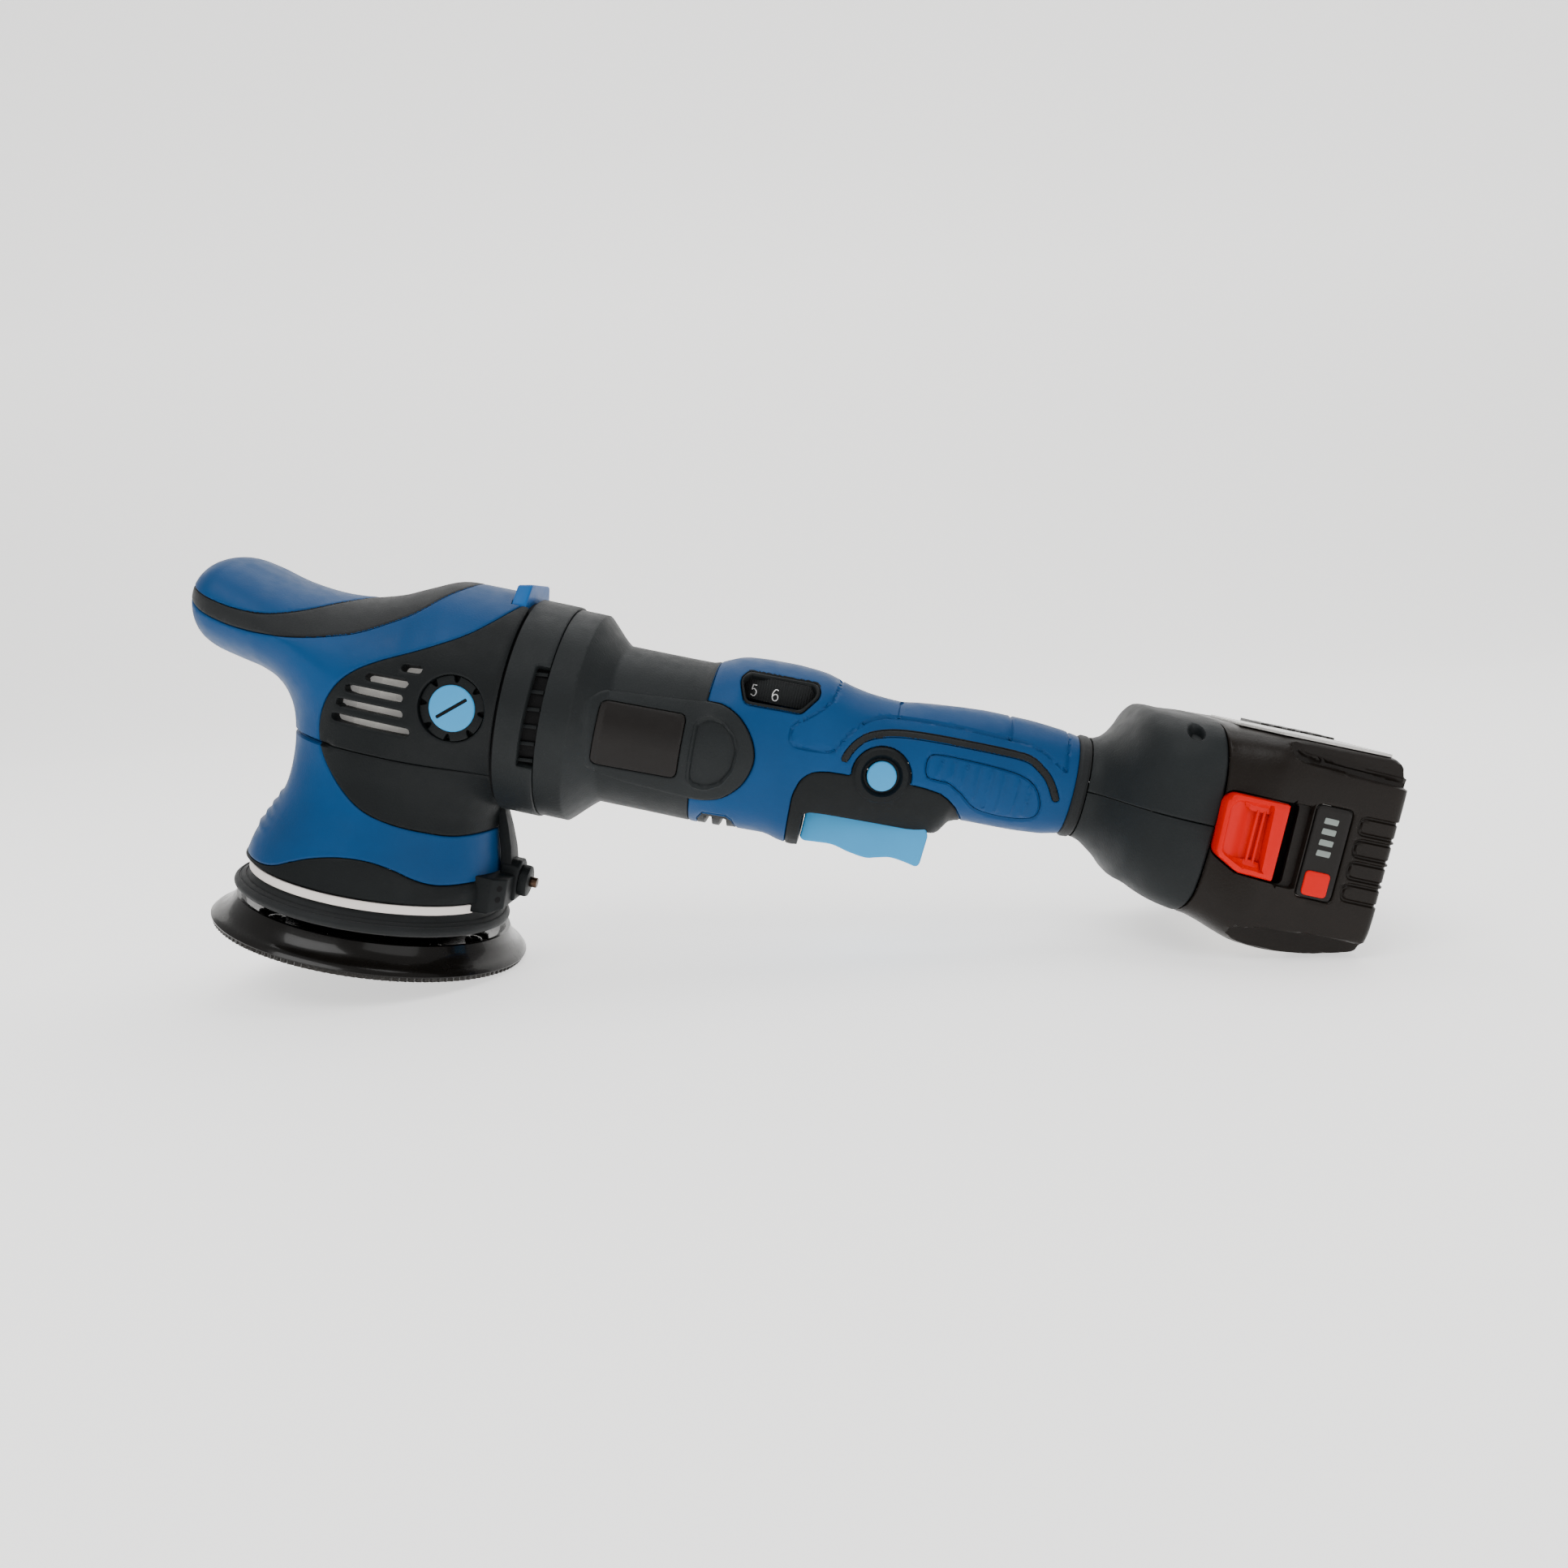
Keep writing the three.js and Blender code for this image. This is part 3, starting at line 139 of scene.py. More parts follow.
def batches(points, start, edge):
    """The points in batches: their rows, x and z, and distance in the x-z plane to the nearest edge."""
    length = np.maximum((edge**2).sum(1), 1e-12)
    for first in range(0, len(points), BATCH):
        rows = slice(first, first + BATCH)
        x, z = points[rows, 0:1], points[rows, 2:3]
        dx, dz = x - start[:, 0], z - start[:, 1]
        t = np.clip((dx * edge[:, 0] + dz * edge[:, 1]) / length, 0, 1)
        yield rows, x, z, np.hypot(dx - t * edge[:, 0], dz - t * edge[:, 1]).min(1)


def signed_distance(points, outline):
    """Distance in the x-z plane to a closed outline, negative inside."""
    start, end = np.asarray(outline, float), np.roll(outline, -1, axis=0)
    edge = end - start
    rise = np.where(np.abs(edge[:, 1]) < 1e-12, 1e-12, edge[:, 1])
    result = np.empty(len(points))
    for rows, x, z, near in batches(points, start, edge):
        spans = (start[:, 1] > z) != (end[:, 1] > z)
        crossed = spans & (x < start[:, 0] + (z - start[:, 1]) / rise * edge[:, 0])
        result[rows] = np.where(crossed.sum(1) % 2 == 1, -near, near)
    return result


def line_distance(points, line):
    """Distance in the x-z plane to an open line."""
    result = np.empty(len(points))
    for rows, _, _, near in batches(points, line[:-1], line[1:] - line[:-1]):
        result[rows] = near
    return result


def stations(table, x):
    """Smooth values between stations: a cubic through each column that never overshoots."""
    table = np.array(table, float)
    at, values = table[:, 0], table[:, 1:]
    gap = np.diff(at)[:, None]
    slope = np.diff(values, axis=0) / gap
    tangent = np.vstack([slope[:1], np.zeros((len(at) - 2, values.shape[1])), slope[-1:]])
    same = slope[:-1] * slope[1:] > 0
    mean = 2 * slope[:-1] * slope[1:] / np.where(same, slope[:-1] + slope[1:], 1)
    tangent[1:-1] = np.where(same, mean, 0)
    x = np.clip(x, at[0], at[-1])
    i = np.clip(np.searchsorted(at, x, side="right") - 1, 0, len(at) - 2)
    h = gap[i]
    t = ((x - at[i]) / h[:, 0])[:, None]
    return ((1 + 2 * t) * (1 - t) ** 2 * values[i] + t * (1 - t) ** 2 * h * tangent[i]
            + t**2 * (3 - 2 * t) * values[i + 1] + t**2 * (t - 1) * h * tangent[i + 1])


def step_up(value, low, high):
    """0 below low, 1 above high, and smooth between."""
    t = np.clip((value - low) / (high - low), 0, 1)
    return t * t * (3 - 2 * t)


# ------------------------ skins: moulded surfaces that outlines part
def net(field, low, high, step):
    """Triangles over the surface where field is zero, on a grid of cells."""
    axes = [np.arange(a, b + step, step) for a, b in zip(low, high)]
    grid = np.stack(np.meshgrid(*axes, indexing="ij"), -1)
    values = field(grid.reshape(-1, 3)).reshape(grid.shape[:3])
    cells = np.array(values.shape) - 1
    total, hits, quads = np.zeros((*cells, 3)), np.zeros(cells), []
    for axis in range(3):
        lower = np.take(values, range(cells[axis]), axis)
        upper = np.take(values, range(1, cells[axis] + 1), axis)
        at = np.argwhere((lower < 0) != (upper < 0))
        near, far = lower[tuple(at.T)], upper[tuple(at.T)]
        place = grid[tuple(at.T)].copy()
        place[:, axis] += near / (near - far) * step
        one, two = np.eye(3, dtype=int)[(axis + 1) % 3], np.eye(3, dtype=int)[(axis + 2) % 3]
        around = np.stack([at - one - two, at - two, at, at - one], 1)
        whole = ((around >= 0) & (around < cells)).all(2)
        for corner in range(4):
            inside = whole[:, corner]
            index = tuple(around[inside, corner].T)
            np.add.at(total, index, place[inside])
            np.add.at(hits, index, 1)
        complete = whole.all(1)
        quad = around[complete]
        quads.append(np.where((near[complete] < 0)[:, None, None], quad, quad[:, ::-1]))
    used = hits > 0
    index = np.full(cells, -1)
    index[used] = np.arange(used.sum())
    points = total[used] / hits[used][:, None]
    corners = index[tuple(np.moveaxis(np.vstack(quads), 2, 0))]
    p = points[corners]
    short = ((p[:, 0] - p[:, 2]) ** 2).sum(1) <= ((p[:, 1] - p[:, 3]) ** 2).sum(1)
    first = np.where(short[:, None], corners[:, [0, 1, 2]], corners[:, [0, 1, 3]])
    second = np.where(short[:, None], corners[:, [0, 2, 3]], corners[:, [1, 2, 3]])
    return points, np.vstack([first, second])


ON_LINE = 2e-3                    # how near a point counts as on a cutting line


def split(points, faces, values, level):
    """Cuts the triangles along the line where values equals level."""
    v = values - level
    v[np.abs(v) < ON_LINE] = 0
    sign = np.sign(v).astype(int)
    pairs = np.stack([faces, np.roll(faces, -1, axis=1)], 2)
    crossing = sign[pairs[..., 0]] * sign[pairs[..., 1]] < 0
    if not crossing.any():
        return points, faces, values
    ends = np.sort(pairs[crossing], axis=1)
    unique, back = np.unique(ends, axis=0, return_inverse=True)
    middle = np.full(faces.shape, -1)
    middle[crossing] = len(points) + back.reshape(-1)
    a, b = unique.T
    t = (v[a] / (v[a] - v[b]))[:, None]
    points = np.vstack([points, points[a] + t * (points[b] - points[a])])
    values = np.concatenate([values, values[a] + t[:, 0] * (values[b] - values[a])])
    count = crossing.sum(1)
    made = [faces[count == 0]]
    turn = np.arange(3)
    one = np.where(count == 1)[0]
    order = (np.argmax(crossing[one], 1)[:, None] + 2 + turn) % 3
    f, m = np.take_along_axis(faces[one], order, 1), np.take_along_axis(middle[one], order, 1)
    made += [np.stack([f[:, 0], f[:, 1], m[:, 1]], 1), np.stack([f[:, 0], m[:, 1], f[:, 2]], 1)]
    two = np.where(count == 2)[0]
    order = (np.argmin(crossing[two], 1)[:, None] + 2 + turn) % 3
    f, m = np.take_along_axis(faces[two], order, 1), np.take_along_axis(middle[two], order, 1)
    made += [np.stack([f[:, 0], m[:, 0], m[:, 2]], 1), np.stack([m[:, 0], f[:, 1], f[:, 2]], 1),
             np.stack([m[:, 0], f[:, 2], m[:, 2]], 1)]
    return points, np.vstack(made), values


REACH = 0.05                      # step of the slope's central difference


def slope_of(field, points):
    return np.stack([(field(points + REACH * axis) - field(points - REACH * axis)) / (2 * REACH)
                     for axis in np.eye(3)], 1)


SEAM = 0.13                       # half of the gap between two pieces
EDGE_STEPS = (0.0, 0.22, 0.6)     # where the rounded edge beside a seam has its lines
EDGE_DROP = (0.42, 0.12, 0.0)     # and how far it has dropped there
RIM = (0, 0.3, 0.8), (0.4, 0.1, 0)    # the rounded rim of an opening: where its lines are, and their drop
CELL = 1.9                        # a skin's usual grid cell
LONGEST_STEP = 1.5                # how far settling moves a point at once
SHARP_ANGLE = 38                  # edges sharper than this, in degrees, are shaded sharp


class Skin:
    """A surface, the outlines that part it, and how far each point is pressed in."""

    def __init__(self, field, low, high, step):
        self.field = field
        self.points, self.faces = net(field, low, high, step)
        self.seams, self.presses = [], []
        for _ in range(2):
            self.settle(0)

    def settle(self, depth):
        """Moves the points onto the surface that lies depth under the field's zero."""
        for _ in range(3):
            value = self.field(self.points) + depth
            slope = slope_of(self.field, self.points)
            size = np.maximum((slope**2).sum(1), 1e-6)
            self.points = self.points - np.clip(value / size, -LONGEST_STEP, LONGEST_STEP)[:, None] * slope
        self.normals = slope / np.sqrt(size)[:, None]

    def lines(self, distance, levels):
        """Cuts the skin's triangles where distance equals each level."""
        values = distance(self.points)
        for level in levels:
            self.points, self.faces, values = split(self.points, self.faces, values, level)

    def trim(self, distance, level=0.0):
        """Keeps what lies where distance is below level."""
        self.lines(distance, [level])
        self.drop(distance(self.points[self.faces].mean(1)) > level)

    def drop(self, unwanted):
        self.faces = self.faces[~unwanted]
        used, back = np.unique(self.faces, return_inverse=True)
        self.points, self.faces = self.points[used], back.reshape(-1, 3)

    def seam(self, distance, rounded_edge=True):
        """A parting line: a narrow gap with a rounded edge on both sides."""
        levels = [side * (SEAM + step) for step in EDGE_STEPS for side in (-1, 1)]
        self.lines(distance, levels if rounded_edge else (-SEAM, SEAM))
        self.seams.append((distance, rounded_edge))

    def press(self, distance, edges, depths, scale=None):
        """Pushes the surface in by depths where distance is at edges, and evenly between them."""
        self.lines(distance, edges)
        self.presses.append((distance, edges, depths, scale or (lambda p: 1)))

    def finish(self):
        """Opens the seams and presses the surface in."""
        middle = self.points[self.faces].mean(1)
        gap = np.zeros(len(middle), bool)
        for distance, _ in self.seams:
            gap |= np.abs(distance(middle)) < SEAM - 1e-3
        self.drop(gap)
        depth = np.zeros(len(self.points))
        for distance, edges, depths, scale in self.presses:
            depth += np.interp(distance(self.points), edges, depths) * scale(self.points)
        edge_drop = np.zeros(len(self.points))
        for distance, is_rounded in self.seams:
            if is_rounded:
                away = np.abs(distance(self.points)) - SEAM
                edge_drop = np.maximum(edge_drop, np.interp(away, EDGE_STEPS, EDGE_DROP))
        self.settle(depth + edge_drop)

    def piece(self, name, inside, material, thickness=2.0, body="housing"):
        """The part of the skin where inside is true, as a closed shell."""
        faces = self.faces[inside(self.points[self.faces].mean(1))]
        used, back = np.unique(faces, return_inverse=True)
        faces = back.reshape(-1, 3)
        outer, count = self.points[used], len(used)
        inner = outer - self.normals[used] * thickness
        edges = np.vstack([faces[:, [0, 1]], faces[:, [1, 2]], faces[:, [2, 0]]])
        key, other = edges[:, 0] * count + edges[:, 1], edges[:, 1] * count + edges[:, 0]
        rim = edges[~np.isin(key, other)]
        walls = np.column_stack([rim[:, 1], rim[:, 0], rim[:, 0] + count, rim[:, 1] + count])
        triangles = np.vstack([faces, faces[:, ::-1] + count])
        return mesh_object(name, np.vstack([outer, inner]), [triangles, walls], material, body)


def mesh_object(name, points, face_groups, material, body):
    """A mesh in the row frame, smooth except at its sharp edges, riding on a body."""
    mesh = bpy.data.meshes.new(name)
    mesh.from_pydata(row_frame(points), [], [[int(i) for i in f] for group in face_groups for f in group])
    mesh.validate()
    piece = bpy.data.objects.new(name, mesh)
    bpy.context.scene.collection.objects.link(piece)
    mesh.polygons.foreach_set("use_smooth", [True] * len(mesh.polygons))
    mesh.set_sharp_from_angle(angle=math.radians(SHARP_ANGLE))
    mesh.materials.append(material)
    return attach(piece, body)


# ------------------------ turned and extruded pieces
def turned(name, profile, material, body="housing", about="z", centre=(0, 0), segments=128, angles=(0, 360)):
    """A profile of [radius, height] turned about an upright axis at centre, or about the motor axis."""
    profile = np.array(profile, float)
    whole = angles[1] - angles[0] >= 360
    turn = np.radians(np.linspace(*angles, segments + (0 if whole else 1), endpoint=not whole))
    rings, count = len(turn), len(profile)
    radius, height = np.tile(profile[:, 0], rings), np.tile(profile[:, 1], rings)
    angle = np.repeat(turn, count)
    if about == "z":
        points = np.column_stack([centre[0] + radius * np.cos(angle), centre[1] + radius * np.sin(angle),
                                  height])
    else:
        points = np.column_stack([height, radius * np.sin(angle), centre[1] + radius * np.cos(angle)])
    r = np.arange(rings if whole else rings - 1)[:, None] * count
    c = np.arange(count)[None, :]
    following = (r + count) % (rings * count)
    quads = np.stack([r + c, following + c, following + (c + 1) % count, r + (c + 1) % count],
                     -1).reshape(-1, 4)
    caps = [] if whole else [list(range(count))[::-1], [(rings - 1) * count + i for i in range(count)]]
    return outward(mesh_object(name, points, [quads, caps], material, body))


def outward(piece):
    """Turns every face outwards and drops what has no area."""
    work = bmesh.new()
    work.from_mesh(piece.data)
    bmesh.ops.remove_doubles(work, verts=work.verts, dist=1e-6)
    bmesh.ops.recalc_face_normals(work, faces=work.faces)
    work.to_mesh(piece.data)
    work.free()
    return piece


BEVEL_ANGLE = 0.5                 # edges sharper than this, in radians, are bevelled


def block(name, outline, low, high, bevel, material, body="housing", segments=3, plane="xz", taper=None):
    """An outline pushed from low to high across its plane, with every sharp edge rounded by bevel."""
    work = bmesh.new()
    rings = []
    for level in (low, high):
        ring = []
        for u, v in outline:
            point = {"xz": (u, level, v), "xy": (u, v, level), "yz": (level, u, v)}[plane]
            ring.append(work.verts.new(point))
        rings.append(ring)
    work.faces.new(rings[0])
    work.faces.new(rings[1][::-1])
    count = len(outline)
    for i in range(count):
        k = (i + 1) % count
        work.faces.new((rings[0][i], rings[1][i], rings[1][k], rings[0][k]))
    bmesh.ops.recalc_face_normals(work, faces=work.faces)
    if taper:
        for vertex in work.verts:
            vertex.co = Vector(taper(vertex.co))
    if bevel > 0:
        sharp = [e for e in work.edges if e.calc_face_angle(0) > BEVEL_ANGLE]
        bmesh.ops.bevel(work, geom=sharp, offset=bevel, segments=segments, profile=0.5, affect="EDGES",
                        clamp_overlap=True)
    bmesh.ops.triangulate(work, faces=[f for f in work.faces if len(f.verts) > 4])
    work.verts.index_update()
    points = np.array([v.co for v in work.verts])
    faces = [[v.index for v in f.verts] for f in work.faces]
    work.free()
    return outward(mesh_object(name, points, [faces], material, body))


# ------------------------ materials
def srgb(red, green, blue):
    """A colour from its 0 to 255 display values."""
    linear = [c / 255 / 12.92 if c <= 10 else ((c / 255 + 0.055) / 1.055) ** 2.4 for c in (red, green, blue)]
    return (*linear, 1)


COAT_ROUGHNESS, MATT_SPECULAR = 0.08, 0.14
MOTTLE_SCALE, WEAR = 28, 0.05     # clouds per metre, and how far the gloss goes up and down


def set_inputs(shader, values):
    for key, value in values.items():
        shader.inputs[key].default_value = value


def material(name, slot, color, roughness, metallic, coat, sheen):
    made = bpy.data.materials.new(name)
    made.use_nodes = True
    made["slot"] = slot
    set_inputs(made.node_tree.nodes["Principled BSDF"], {
        "Base Color": color, "Roughness": roughness, "Metallic": metallic, "Coat Weight": coat,
        "Coat Roughness": COAT_ROUGHNESS, "Sheen Weight": sheen,
        "Specular IOR Level": MATT_SPECULAR if metallic < 0.5 else 0.5})
    return made


def node(made, kind, **values):
    new = made.node_tree.nodes.new(kind)
    for key, value in values.items():
        if key in new.inputs.keys():
            new.inputs[key].default_value = value
        else:
            setattr(new, key, value)
    return new


def noise(made, scale, detail, stretch=(1, 1, 1)):
    """Noise in the piece's own coordinates, in features per metre."""
    link = made.node_tree.links.new
    place = node(made, "ShaderNodeTexCoord")
    mapping = node(made, "ShaderNodeMapping", Scale=stretch)
    pattern = node(made, "ShaderNodeTexNoise", Scale=scale, Detail=detail)
    link(place.outputs["Object"], mapping.inputs["Vector"])
    link(mapping.outputs["Vector"], pattern.inputs["Vector"])
    return pattern.outputs["Fac"]


def spread(made, source, low, high):
    """The noise stretched from low to high."""
    spans = {"From Min": 0.3, "From Max": 0.7, "To Min": low, "To Max": high}
    ramp = node(made, "ShaderNodeMapRange", **spans)
    made.node_tree.links.new(source, ramp.inputs["Value"])
    return ramp.outputs["Result"]


def surface(name, slot, color, roughness, grain, bump, metallic=0.0, coat=0.0, sheen=0.0, mottle=0.10,
            stretch=(1, 1, 1)):
    """A material with moulded-in grain, cloudy colour and uneven gloss."""
    made = material(name, slot, color, roughness, metallic, coat, sheen)
    link = made.node_tree.links.new
    shader = made.node_tree.nodes["Principled BSDF"]
    cloud = noise(made, MOTTLE_SCALE, 5.0)
    mix = node(made, "ShaderNodeMix", data_type="RGBA")
    mix.inputs[6].default_value = tuple(c * (1 - mottle) for c in color[:3]) + (1,)
    mix.inputs[7].default_value = tuple(min(1, c * (1 + mottle)) for c in color[:3]) + (1,)
    link(spread(made, cloud, 0, 1), mix.inputs["Factor"])
    link(mix.outputs[2], shader.inputs["Base Color"])
    link(spread(made, noise(made, MOTTLE_SCALE * 6, 4.0), roughness - WEAR, roughness + WEAR),
         shader.inputs["Roughness"])
    relief = node(made, "ShaderNodeBump", Strength=bump, Distance=0.0002)
    link(noise(made, grain, 2.0, stretch), relief.inputs["Height"])
    link(relief.outputs["Normal"], shader.inputs["Normal"])
    return made


BLUE = surface("moulded_blue", "casing_blue", srgb(4, 60, 106), 0.46, 1500, 0.30)
LIGHT_BLUE = surface("moulded_light_blue", "control_blue", srgb(56, 148, 202), 0.42, 900, 0.10, mottle=0.05)
TAB_BLUE = surface("moulded_tab_blue", "control_blue", srgb(24, 88, 152), 0.42, 900, 0.12, mottle=0.06)
BLACK = surface("moulded_black", "casing_black", srgb(17, 20, 21), 0.52, 1500, 0.45, mottle=0.18)
SATIN = surface("moulded_satin_black", "casing_black", srgb(28, 31, 32), 0.50, 1500, 0.45, mottle=0.18)
RUBBER = surface("soft_rubber", "soft_black", srgb(27, 29, 30), 0.60, 2200, 0.50, mottle=0.2, sheen=0.1)
# Painted shade: a near-black material set into gaps, slots, holes and hollows where there would only be shade.
PAINTED_SHADE = surface("painted_shade_black", "casing_black", srgb(8, 8, 9), 0.7, 1500, 0.3)
GRAPHITE = surface("battery_plastic", "graphite", srgb(24, 20, 17), 0.36, 1300, 0.35, mottle=0.14)
LABEL = surface("label_film", "graphite", srgb(27, 25, 24), 0.38, 2600, 0.12, mottle=0.10)
RED = surface("moulded_red", "signal_red", srgb(202, 0, 0), 0.38, 900, 0.10, mottle=0.05)
WHITE = surface("band_white", "band_white", srgb(240, 232, 226), 0.42, 700, 0.12, mottle=0.05)
GLOSS = surface("plate_gloss", "soft_black", srgb(12, 10, 8), 0.24, 300, 0.05, mottle=0.3, coat=0.25)
FUZZ = surface("hook_fuzz", "hook_fabric", srgb(40, 38, 36), 0.85, 2600, 1.0, sheen=0.4)
GLOWING_CAST = surface("cast_alloy_painted_glow", "cast_aluminium", srgb(226, 222, 214), 0.5, 900, 0.8, metallic=0.3, mottle=0.16)
# Painted light: the cast alloy is given a faint glow so the gear case looks lit where it sits in shade.
set_inputs(GLOWING_CAST.node_tree.nodes["Principled BSDF"],
           {"Emission Color": (1, 0.98, 0.94, 1), "Emission Strength": 0.16})
STEEL = surface("machined_steel", "machine_steel", srgb(150, 152, 156), 0.30, 900, 0.25, metallic=1.0,
                stretch=(1, 1, 12))
BRASS = surface("bolt_bronze", "copper", srgb(74, 58, 48), 0.40, 700, 0.3, metallic=1.0)
BOARD = surface("board_green", "circuit_green", srgb(34, 96, 58), 0.4, 800, 0.2)
LAMP = surface("lamp_lens", "graphite", srgb(128, 136, 132), 0.24, 500, 0.05)
INK = surface("dial_ink", "band_white", srgb(232, 232, 232), 0.5, 900, 0.05)
LABEL_SILVER = surface("label_silver", "graphite", srgb(200, 198, 194), 0.26, 600, 0.08, metallic=0.3)


# ------------------------ head
HEAD_OUTLINE = smooth([
    (90, 150.8), (46, 150.8), (28, 150.8), (15, 150.2), (3, 145.2), (-8, 140.2), (-20, 137.1), (-34, 136.2),
    (-50, 137.8), (-62.6, 141), (-72, 142.2), (-80, 139.5), (-85.6, 133.6), (-88, 125.5), (-86.4, 116),
    (-81.8, 108.7), (-75, 104.6), (-64.4, 102.2), (-54.2, 100.2), (-47, 96.6), (-42.4, 90), (-40.2, 81),
    (-39.4, 70), (-40.4, 59), (-44, 50), (-48, 41.5), (-50.6, 33), (-51.8, 20), (-52, -60), (52, -60),
    (51.6, 24), (49.2, 40), (46.6, 51), (45.3, 58), (45.4, 63.6), (50, 67.4), (90, 68)], 5, closed=True)
SEAM_Z, SHROUD_Z = 81, 29.4       # the casing's parting line, and where the skirt ends
COLLAR_X, COLLAR_RADIUS, BARREL_Z = 46.2, 42.3, 107.3


def sampled(outline, low, high, step=0.4):
    """Signed distance to an outline, read from a fine grid."""
    xs, zs = np.arange(low[0], high[0], step), np.arange(low[1], high[1], step)
    gx, gz = np.meshgrid(xs, zs, indexing="ij")
    values = signed_distance(np.column_stack([gx.ravel(), gx.ravel() * 0, gz.ravel()]), outline)
    values = values.reshape(gx.shape)

    def read(p):
        u = np.clip((p[:, 0] - low[0]) / step, 0, len(xs) - 1.001)
        v = np.clip((p[:, 2] - low[1]) / step, 0, len(zs) - 1.001)
        i, j = u.astype(int), v.astype(int)
        s, t = u - i, v - j
        return ((1 - s) * (1 - t) * values[i, j] + s * (1 - t) * values[i + 1, j]
                + (1 - s) * t * values[i, j + 1] + s * t * values[i + 1, j + 1])
    return read


def head_field():
    """The side outline blown up to the head's width: an oval across wherever its edge is near."""
    edge = sampled(HEAD_OUTLINE, (-104, 20), (60, 160))
    nose = [(-100, 29.5), (-73, 32.5), (-52, 35.5), (-36, 37.6), (-15, 39.8), (0, 40.8), (12, 42), (60, 43)]
    neck = [(20, 52.6), (29.5, 51.2), (40, 49.8), (49, 46.8), (60, 43), (72, 41), (107, 41)]

    def field(p):
        x, z = p[:, 0], p[:, 2]
        high_up = step_up(z, 68, 96)
        neck_half = stations(neck, z)[:, 0]
        half = neck_half + (stations(nose, x)[:, 0] - neck_half) * high_up
        fold = np.clip(19 + 0.44 * (x + 50), 18.5, 43)
        reach = neck_half * 1.02 + (fold - neck_half * 1.02) * step_up(z, 70, 104)
        rise = np.maximum(0, 1 + edge(p) / reach)
        return (np.hypot(rise, p[:, 1] / half) - 1) * np.minimum(reach, half)
    return field


def outline_of(*parts):
    """One outline from several points and stretches."""
    return np.vstack([np.atleast_2d(np.array(part, float)) for part in parts])


def beside(line):
    """The distance to an open line, as a field."""
    return lambda p: line_distance(p, line)


def shape(outline):
    """The signed distance to an outline, as a field."""
    return lambda p: signed_distance(p, outline)


GRIP_UPPER = smooth([
    (-108, 131.8), (-94, 130.6), (-85, 128.6), (-67, 124.6), (-55, 123.8), (-46, 124.8), (-36, 128.2),
    (-26.6, 133.2), (-17.8, 137.5), (-6, 142.5), (4, 150)], 6)
GRIP_LOWER = smooth([
    (32, 162), (22.4, 150.8), (14.9, 144.1), (6.1, 135.9), (-3.2, 129.8), (-12.8, 124.4), (-22.6, 121),
    (-32.6, 118.6), (-42.8, 117.1), (-53.1, 116.6), (-63.6, 117.3), (-74.4, 119.8), (-83.7, 123.2),
    (-94, 125.6), (-108, 126)], 6)
PANEL_EDGE = smooth([
    (53, 156), (44.3, 147.4), (36, 138.4), (27.4, 131.2), (13.8, 123.5), (-0.1, 116.7), (-9.2, 110.8),
    (-15.1, 104.1), (-18.9, 96.4), (-20.3, 88.6), (-18.8, 80.5), (-13.7, 73), (-5.4, 65.6), (4, 60.2),
    (15, 57.2), (27.5, 55.6), (36, 55), (45.3, 56.6), (56, 60)], 6)
SKIRT_EDGE = smooth([
    (-62, 30.8), (-50, 30.5), (-40, 30.5), (-32, 31.2), (-25.9, 32.8), (-19.2, 36), (-10.7, 39.6),
    (0.6, 42.6), (11, 42.9), (19.8, 41), (25.3, 38.9), (30.7, 37.2), (36, 36.6), (44, 37.4), (60, 40)], 6)
FAR = 170                         # a height above everything
GRIP = shape(outline_of(GRIP_UPPER, (4, FAR), (32, FAR), GRIP_LOWER))
PAD = shape(outline_of(GRIP_UPPER, (4, FAR), (-108, FAR)))
PANEL = shape(outline_of(PANEL_EDGE, (70, 64), (70, 156)))
SKIRT = shape(outline_of(SKIRT_EDGE, (60, 0), (-62, 0)))

VENTS = [capsule(*vent) for vent in (
    (-15.2, 16.2, 92.3, 3.0, 0.2), (-13.9, 12.6, 98.2, 3.0, 0.3), (-11.3, 11.6, 104, 3.0, 0.4),
    (-4.4, 12.6, 109.8, 3.0, 0.3), (8.2, 16.6, 115.9, 2.8, 0.4))]
PLUG, SEAT_RADIUS, CAP_RADIUS = (30, 104.8), 12.7, 8.7
TAB_ROOM = 38.7, 19.4, 134.9      # the lock tab's slot: its front, half width and floor


